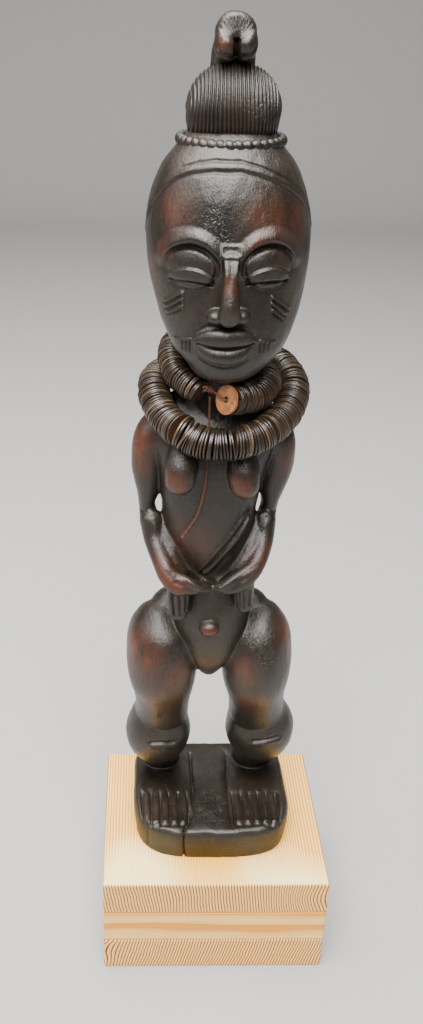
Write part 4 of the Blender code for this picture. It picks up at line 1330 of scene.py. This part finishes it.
        around = np.stack([averaged(column) for column in places.T], axis=1)
        bulge = np.einsum("ij,ij->i", places - around, normals)
        spread = np.sqrt(averaged(np.einsum("ij,ij->i", places - around, places - around))) + 0.05
        lean = bulge / (spread + 0.25)
        for _ in range(6):
            lean = 0.4 * lean + 0.6 * averaged(lean)
        wear = np.clip(strongest(self.wear_places, 1.25) * (0.75 + 3.0 * lean), 0, 1)
        pitted = strongest(self.pitted_places, 1.3)
        on_slab = places[:, 2] < self.above_slab
        # Painted shade: concave places, and the slab's faces that don't face up, are marked for darkening.
        shaded_hollow = np.clip(-lean * 4.5, 0, 1)
        shaded_hollow = np.where(on_slab & (normals[:, 2] < 0.5), np.maximum(shaded_hollow, 0.75), shaded_hollow)
        dusty = np.clip(0.25 + normals[:, 2] * 0.8 - 1.2 * wear, 0, 1)
        dusty = np.where(on_slab, np.clip(dusty + 0.25, 0, 1), dusty)
        for name, values in (("wear", wear), ("shaded_hollow", shaded_hollow), ("dusty", dusty), ("pitted", pitted)):
            layer = mesh.attributes.new(name, "FLOAT", "POINT")
            layer.data.foreach_set("value", values.astype(np.float32))

    def build(self) -> list[bpy.types.Object]:
        """Carves the woman and waxes her.

        Returns:
            The one piece.
        """
        item = self.skin()
        self.mark_wear(item.data)
        item.data.materials.clear()
        item.data.materials.append(DarkWood().material())
        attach(item, "root")
        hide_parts(self.node)
        return [item]


@dataclass
class Necklace:
    """About three hundred shell discs strung on a cord, wound twice round the neck and knotted.

    The strand is drawn as degrees round the neck from the front by the left, distance from the neck's
    middle and height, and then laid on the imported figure. For the first passes it is pulled back to the drawn
    line and kept smooth, and in the last ones it only clears the wood and its other turn. Places are in
    parts, the disc's profile in shares of its thickness and radius with the share of face colour, sizes of
    discs, cord and knots in metres, and leans in degrees.
    """

    carving: Carving
    neck_middle: tuple[float, float] = (-8.6, 4)
    strand: Rows = (
        (22, 26.5, 317.5),
        (55, 25.2, 320),
        (85, 25, 325),
        (115, 26.5, 329),
        (150, 31, 330.5),
        (180, 37.5, 328),
        (212, 45, 319),
        (245, 45, 312),
        (275, 41.2, 306.5),
        (305, 39.8, 300),
        (335, 39, 294),
        (360, 38.5, 292.5),
        (385, 37, 294),
        (415, 35.5, 301),
        (445, 34.6, 308.5),
        (475, 35, 311),
        (510, 35, 309.5),
        (540, 34, 308),
        (575, 30, 310),
        (605, 28, 313.5),
        (635, 27.6, 315.5),
        (655, 28.4, 314.5),
        (675, 29, 314),
        (690, 30.2, 314.2),
        (703, 33.2, 316.4),
        (715, 36.5, 318.4),
    )
    sizes_along: Rows = ((25, 0.0), (90, 0.4), (160, 1.0), (560, 1.0), (650, 1.0), (690, 0.9), (715, 0.35))
    small_disc: float = 0.0142
    large_disc: float = 0.0178
    disc_thickness: float = 0.0014
    disc_hole: float = 0.0034
    clearance: float = 0.0007
    cord_width: float = 0.0013
    touch_gap: float = 0.0003
    passes: int = 90
    last_passes: int = 10
    pull: float = 0.12
    stiffness: float = 0.2
    front_reach: float = 35
    turn_apart: float = 90
    samples: int = 150
    disc_sides: int = 18
    disc_profile: Rows = (
        (-0.5, 0.62, 1.0),
        (-0.5, 0.972, 0.5),
        (-0.3, 1.0, 0.0),
        (0.3, 1.0, 0.0),
        (0.5, 0.972, 0.5),
        (0.5, 0.62, 1.0),
    )
    discs_in_a_group: tuple[int, int] = (3, 11)
    group_lean: float = 5.0
    most_lean: float = 8
    disc_lean: float = 1.5
    size_spread: float = 0.018
    size_limits: tuple[float, float] = (0.93, 1.035)
    thin_share: tuple[float, float] = (0.62, 0.94)
    slip: float = 0.00024
    ply_pitch: float = 0.0024
    knot_sizes: tuple[float, float] = (0.00165, 0.0013)
    tail_knot: float = 0.0007
    knot_middle: tuple[float, float, float] = (-14.4, -26.0, 320.5)
    tail: Rows = (
        (-14.4, -26.2, 316.2),
        (-14.3, -24.6, 308),
        (-14.0, -24.3, 296),
        (-14.0, -24.2, 284),
        (-14.4, -24.4, 270),
        (-15.8, -24.6, 258),
        (-18.6, -24.8, 246),
        (-22.6, -24.2, 238),
        (-26.8, -23.2, 230.5),
    )

    def settled(self) -> np.ndarray:
        """The strand's middle line laid on the figure.

        Returns:
            Rows of x, y, z in metres, disc radius and degrees.
        """
        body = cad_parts[self.carving.node].data
        faces = [tuple(face.vertices) for face in body.polygons]
        tree = BVHTree.FromPolygons([vertex.co for vertex in body.vertices], faces)
        rows = blended(self.strand, 8)
        angles = np.radians(rows[:, 0])
        part = self.carving.part
        x = (self.neck_middle[0] - rows[:, 1] * np.sin(angles)) * part
        y = (self.neck_middle[1] - rows[:, 1] * np.cos(angles)) * part
        z = rows[:, 2] * part + self.carving.ground
        strand = even_steps(np.stack([x, y, z, rows[:, 0]], axis=1), self.samples)
        drawn, turn = strand[:, :3], strand[:, 3]
        path = drawn.copy()
        places, shares = np.array(self.sizes_along).T
        radii = (self.small_disc + (self.large_disc - self.small_disc) * np.interp(turn, places, shares)) / 2
        front = np.abs(turn - 360) < self.front_reach
        room = radii + self.clearance + front * (self.cord_width + self.touch_gap)
        other_turn = np.abs(turn[:, None] - turn[None]) > self.turn_apart
        wanted = radii[:, None] + radii[None] + self.clearance
        for settling in range(self.passes):
            if settling < self.passes - self.last_passes:
                path += self.pull * (drawn - path)
                path[1:-1] += self.stiffness * (path[:-2] + path[2:] - 2 * path[1:-1])
            for k, point in enumerate(path):
                near, normal, _, distance = tree.find_nearest(Vector(point))
                away = Vector(point) - near
                if away.dot(normal) < 0:
                    path[k] = near + normal * room[k]
                elif distance < room[k]:
                    path[k] = near + away.normalized() * room[k]
            apart = path[:, None] - path[None]
            gaps = np.linalg.norm(apart, axis=2)
            for k, m in zip(*np.nonzero(other_turn & (gaps < wanted))):
                if k < m:
                    push = apart[k, m] / gaps[k, m] * (wanted[k, m] - gaps[k, m]) / 2
                    path[k] += push
                    path[m] -= push
        return np.column_stack([path, radii, turn])

    def run_names(self) -> list[str]:
        """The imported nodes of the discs, in order along the strand."""
        return sorted(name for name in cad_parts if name.startswith("disc_run_"))

    def lay_discs(self, strand: np.ndarray, finish: bpy.types.Material) -> list[bpy.types.Object]:
        """Threads the discs, each with its own thickness, size, lean and shade.

        Args:
            strand: the settled middle line.
            finish: the discs' material.

        Returns:
            One piece for each packed run.
        """
        chance = np.random.default_rng(5)
        names = self.run_names()
        length = np.linalg.norm(np.diff(strand[:, :3], axis=0), axis=1).sum()
        total = len(names) * round(length / len(names) / (self.disc_thickness * 1.02))
        rows = even_steps(strand, 2 * total + 1)[1::2]
        tangents = np.gradient(rows[:, :3], axis=0)
        lean = np.zeros((total, 2))
        swell = np.ones(total)
        shade = np.zeros(total)
        k = 0
        while k < total:
            group = int(chance.integers(*self.discs_in_a_group))
            lean[k : k + group] = chance.normal(0, self.group_lean, 2).clip(-self.most_lean, self.most_lean)
            swell[k : k + group] = chance.normal(1.0, self.size_spread)
            shade[k : k + group] = chance.normal(0, 0.12)
            k += group
        lean += chance.normal(0, self.disc_lean, (total, 2))
        lean = np.radians(lean)
        swell = (swell + chance.normal(0, self.size_spread, total)).clip(*self.size_limits)
        thick = self.disc_thickness * chance.uniform(*self.thin_share, total)
        shade = (shade + chance.beta(1.3, 2.3, total)).clip(0, 1)
        offset = chance.normal(0, self.slip, (total, 2))
        pieces = []
        share = total // len(names)
        for run, name in enumerate(names):
            bm = bmesh.new()
            tones = []
            for k in range(run * share, (run + 1) * share):
                turn = Vector(tangents[k]).to_track_quat("Z", "Y").to_matrix().to_4x4()
                tilt = Matrix.Rotation(lean[k, 0], 4, "X") @ Matrix.Rotation(lean[k, 1], 4, "Y")
                slip = Matrix.Translation((offset[k, 0], offset[k, 1], 0))
                matrix = Matrix.Translation(rows[k, :3]) @ turn @ tilt @ slip
                size = float(rows[k, 3] * swell[k])
                tones += self.one_disc(bm, matrix, size, float(thick[k]), float(shade[k]))
            item = piece_from(f"discs_{run + 1:02d}", bm, 38)
            for place, title in enumerate(("shade", "face")):
                layer = item.data.attributes.new(title, "FLOAT", "POINT")
                layer.data.foreach_set("value", [tone[place] for tone in tones])
            item.data.materials.append(finish)
            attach(item, "root")
            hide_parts(name)
            pieces.append(item)
        return pieces

    def one_disc(
        self, bm: bmesh.types.BMesh, matrix: Matrix, size: float, thick: float, shade: float
    ) -> list:
        """One disc: a rim whose edges are broken, and two faces with a worn middle.

        Args:
            bm: the mesh that gets it.
            matrix: its place and turn.
            size: its radius.
            thick: its thickness.
            shade: how pale its rim is, from 0 to 1.

        Returns:
            The shade and the share of face colour of each of its points, in order.
        """
        rings = []
        tones = []
        upright, sideways = Vector((0, 0, 1)), Vector((1, 0, 0))
        for height, width, face in self.disc_profile:
            centre, radius = upright * height * thick, size * width
            spots = ring_round(centre, upright, sideways, radius, radius, self.disc_sides)
            rings.append([matrix @ spot for spot in spots])
            tones += [(shade, face)] * self.disc_sides
        loft(bm, rings)
        return tones

    def pale_end(self, strand: np.ndarray) -> bpy.types.Object:
        """The pale disc at the strand's end, a flat ring spun round its hole.

        Args:
            strand: the settled middle line.

        Returns:
            The piece.
        """
        direction = Vector(strand[-1, :3] - strand[-2, :3]).normalized()
        outside, hole, half = float(strand[-1, 3]), self.disc_hole / 2, self.disc_thickness / 2
        bm = bmesh.new()
        places = ((hole, -half), (outside, -half), (outside, half), (hole, half))
        section = bm.faces.new([bm.verts.new((x, 0, z)) for x, z in places])
        bmesh.ops.bevel(
            bm, geom=section.edges[:], offset=0.00024, affect="EDGES", segments=1, profile=0.5, material=-1
        )
        section = bm.faces[:]
        rim = [edge for edge in bm.edges if edge.is_boundary]
        bmesh.ops.delete(bm, geom=section, context="FACES_ONLY")
        bmesh.ops.spin(bm, geom=rim, cent=(0, 0, 0), axis=(0, 0, 1), angle=math.tau, steps=40, use_merge=True)
        bmesh.ops.remove_doubles(bm, verts=bm.verts, dist=1e-6)
        place = Vector(strand[-1, :3]) + direction * (half + self.touch_gap)
        turn = direction.to_track_quat("Z", "Y").to_matrix().to_4x4()
        bmesh.ops.transform(bm, matrix=Matrix.Translation(place) @ turn, verts=bm.verts)
        item = piece_from("pale_disc", bm, 38)
        item.data.materials.append(PaleShell().material())
        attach(item, "root")
        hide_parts("end_disc")
        return item

    def two_ply(self, bm: bmesh.types.BMesh, route: np.ndarray, width: float) -> None:
        """Two twisted threads along a route.

        Args:
            bm: the mesh that gets them.
            route: rows of x, y and z in metres.
            width: the cord's whole width.
        """
        length = np.linalg.norm(np.diff(route, axis=0), axis=1).sum()
        fine = even_steps(route, max(8, round(length / self.ply_pitch * 7)))
        tangents = np.gradient(fine, axis=0)
        turns = np.linspace(0, math.tau * length / self.ply_pitch, len(fine))
        for ply in (0.0, math.pi):
            centres = []
            for point, tangent, turn in zip(fine, tangents, turns):
                along = Vector(tangent).normalized()
                side = along.cross(Vector((0.2, 0.1, 1))).normalized()
                around = Matrix.Rotation(turn + ply, 3, along)
                centres.append(tuple(Vector(point) + around @ side * width * 0.24))
            tube(bm, np.array(centres), width * 0.27, 6)

    def knot_turns(self, middle: Vector, size: float, turns: float, lean: Matrix) -> np.ndarray:
        """The route of a cord wound round itself as a small ball.

        Args:
            middle: the knot's middle.
            size: its half width.
            turns: how many times it goes round.
            lean: how the winding is turned.

        Returns:
            Rows of x, y and z.
        """
        points = []
        for share in np.linspace(0, 1, round(turns * 14)):
            angle = math.tau * turns * share
            radius = size * (0.62 + 0.32 * math.sin(math.pi * share))
            along = size * 1.15 * (2 * share - 1)
            offset = Vector((along, radius * math.cos(angle), radius * math.sin(angle)))
            points.append(tuple(middle + lean @ offset))
        return np.array(points)

    def tie(self, strand: np.ndarray, finish: bpy.types.Material) -> bpy.types.Object:
        """The knot that closes the strand, with its cord to the discs on both sides.

        Args:
            strand: the settled middle line.
            finish: the cord's material.

        Returns:
            The piece.
        """
        middle = self.carving.to_metres() @ Vector(self.knot_middle)
        start, end = Vector(strand[0, :3]), Vector(strand[-1, :3])
        bm = bmesh.new()
        width = self.cord_width
        lean = Matrix.Rotation(0.35, 3, "Y") @ Matrix.Rotation(-0.3, 3, "Z")
        large, small = self.knot_sizes
        beside = middle + Vector((-0.0022, 0.0002, 0.0003))
        tube(bm, self.knot_turns(middle, large, 3.2, lean), width * 0.42, 8)
        tube(bm, self.knot_turns(beside, small, 2.0, lean @ Matrix.Rotation(1.1, 3, "Z")), width * 0.4, 8)
        out = Vector(strand[-1, :3] - strand[-2, :3]).normalized()
        mouth = end + out * (self.disc_thickness + 0.0012)
        halfway = (middle + start) / 2 + Vector((0, 0, 0.0004))
        for stops in ((middle, halfway, start), (middle, mouth, end + out * 0.0004)):
            route = blended(tuple(tuple(stop) for stop in stops), 8)
            self.two_ply(bm, route, width * 0.95)
        item = piece_from("closing_knot", bm, 60)
        item.data.materials.append(finish)
        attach(item, "root")
        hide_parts("necklace_knot")
        return item

    def hang_tail(self, finish: bpy.types.Material) -> bpy.types.Object:
        """The cord's free end, hanging from the knot down the chest to a small knot of its own.

        Args:
            finish: the cord's material.

        Returns:
            The piece.
        """
        route = even_steps(blended(self.tail, 8), 30) * self.carving.part
        route[:, 2] += self.carving.ground
        bm = bmesh.new()
        self.two_ply(bm, route, self.cord_width)
        end = Vector(route[-1]) + Vector((0.0004, -0.0003, 0.0006))
        turns = self.knot_turns(end, self.tail_knot, 2.0, Matrix.Rotation(0.9, 3, "Y"))
        tube(bm, turns, self.cord_width * 0.3, 6)
        item = piece_from("cord_tail", bm, 60)
        item.data.materials.append(finish)
        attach(item, "root")
        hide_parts("necklace_cord_tail")
        return item

    def build(self) -> list[bpy.types.Object]:
        """Strings the whole necklace.

        Returns:
            Its pieces.
        """
        strand = self.settled()
        thread = TwistedCord().material()
        pieces = self.lay_discs(strand, DiscShell().material())
        return [*pieces, self.pale_end(strand), self.tie(strand, thread), self.hang_tail(thread)]


@dataclass
class Plinth:
    """The block under the figure: three boards, the middle one laid across the others."""

    top: Softwood = Softwood("planed_softwood_top", upward=0.14, sway=0.006, ripple=0.0012)
    middle: Softwood = Softwood(
        "planed_softwood_middle",
        grain=Grain.SIDE_TO_SIDE,
        ring=0.0135,
        across=0.16,
        upward=1.0,
        sway=0.024,
        ripple=0.0014,
        swirl=(0.02, 0.03, 0.03, 0.0),
        pale=(0.95, 0.58, 0.2),
        tan=(0.9, 0.47, 0.11),
        late=(0.78, 0.31, 0.03),
        late_from=0.66,
    )
    bottom: Softwood = Softwood(
        "planed_softwood_bottom", upward=-0.24, sway=0.006, ripple=0.0013, swirl=(-0.077, 0.018, 0.011, 0.007)
    )

    def build(self) -> list[bpy.types.Object]:
        """Dresses the three packed boards.

        Returns:
            The boards.
        """
        boards = []
        for layer in ("top", "middle", "bottom"):
            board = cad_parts[f"plinth_{layer}_board"]
            board.material_slots[0].material = getattr(self, layer).material()
            boards.append(board)
        return boards


@dataclass(frozen=True)
class Lamp:
    """A square soft light: its name, place, the point it faces, its side, watts and colour."""

    name: str
    place: Triple
    aim: Triple
    size: float
    power: float
    tone: Colour

    def hang(self) -> None:
        """Puts the light in the scene."""
        light = bpy.data.lights.new(self.name, "AREA")
        light.size, light.energy, light.color = self.size, self.power, self.tone
        item = bpy.data.objects.new(self.name, light)
        item.location = self.place
        facing = Vector(self.aim) - Vector(self.place)
        item.rotation_euler = facing.to_track_quat("-Z", "Y").to_euler()
        bpy.context.scene.collection.objects.link(item)


@dataclass
class Studio:
    """Pale paper that sweeps up behind the object, soft lights and the camera."""

    floor_half: float = 3.2
    wall_distance: float = 2.6
    wall_height: float = 3.4
    sweep: float = 0.5
    lens: float = 36 * 1036.74 / 1024
    shift: float = 0.0515
    pitch: float = math.radians(27.9346)
    yaw: float = math.radians(1.5497)
    roll: float = math.radians(1.0)
    eye: tuple[float, float, float] = (-0.0536446, -0.5305468, 0.5911432)
    lamps: tuple[Lamp, ...] = (
        Lamp("overhead", (-0.15, 0.05, 1.6), (0, 0, 0.25), 1.2, 76, (1.0, 0.985, 0.955)),
        Lamp("front", (-0.2, -1.0, 1.85), (0, 0, 0.35), 1.3, 100, (1.0, 0.985, 0.96)),
        Lamp("left", (-1.3, -0.3, 1.0), (0, 0, 0.35), 0.8, 9, (1.0, 0.98, 0.95)),
    )
    sky: Colour = (0.94, 0.93, 0.9)
    sky_strength: float = 0.24

    def backdrop(self) -> bpy.types.Object:
        """The paper: a floor whose far edge is drawn up and rounded."""
        bm = bmesh.new()
        bmesh.ops.create_grid(bm, x_segments=1, y_segments=1, size=self.floor_half)
        for vertex in bm.verts:
            vertex.co.y = self.wall_distance if vertex.co.y > 0 else vertex.co.y
        far = [edge for edge in bm.edges if all(vertex.co.y > 0 for vertex in edge.verts)]
        raised = bmesh.ops.extrude_edge_only(bm, edges=far)["geom"]
        for vertex in [item for item in raised if isinstance(item, bmesh.types.BMVert)]:
            vertex.co.z = self.wall_height
        corner = [edge for edge in bm.edges if not edge.is_boundary and len(edge.link_faces) == 2]
        bmesh.ops.bevel(
            bm, geom=corner, offset=self.sweep, affect="EDGES", segments=16, profile=0.5, material=-1
        )
        item = piece_from("studio_floor", bm, 60)
        item.data.materials.append(PlainCard().material())
        return item

    def camera(self) -> None:
        """The camera at the photograph's angle, height and distance."""
        ahead = Vector((math.sin(self.yaw), math.cos(self.yaw), 0))
        right = Vector((math.cos(self.yaw), -math.sin(self.yaw), 0))
        up = Vector((0, 0, 1))
        forward = ahead * math.cos(self.pitch) - up * math.sin(self.pitch)
        above = up * math.cos(self.pitch) + ahead * math.sin(self.pitch)
        across = right * math.cos(self.roll) + above * math.sin(self.roll)
        above = above * math.cos(self.roll) - right * math.sin(self.roll)
        data = bpy.data.cameras.new("photograph")
        data.sensor_width, data.lens, data.shift_x, data.clip_start = 36, self.lens, self.shift, 0.01
        item = bpy.data.objects.new("photograph", data)
        turned = Matrix((across, above, -forward)).transposed().to_4x4()
        item.matrix_world = Matrix.Translation(self.eye) @ turned
        bpy.context.scene.collection.objects.link(item)
        bpy.context.scene.camera = item

    def build(self) -> None:
        """Sets up the paper, the lights, the sky and the camera."""
        self.camera()
        self.backdrop()
        for lamp in self.lamps:
            lamp.hang()
        world = bpy.data.worlds.new("sky")
        world.use_nodes = True
        shade = world.node_tree.nodes["Background"]
        shade.inputs["Color"].default_value = (*self.sky, 1)
        shade.inputs["Strength"].default_value = self.sky_strength
        bpy.context.scene.world = world


def main() -> None:
    """Builds the studio, the block, the carving and the necklace, and reports each piece."""
    logging.basicConfig(level=logging.INFO, format="%(message)s")
    Studio().build()
    carving = Carving()
    for maker in (Plinth(), Necklace(carving), carving):
        for piece in maker.build():
            LOG.info("%s: %s has %d faces", type(maker).__name__, piece.name, len(piece.data.polygons))


if __name__ == "__main__":
    main()
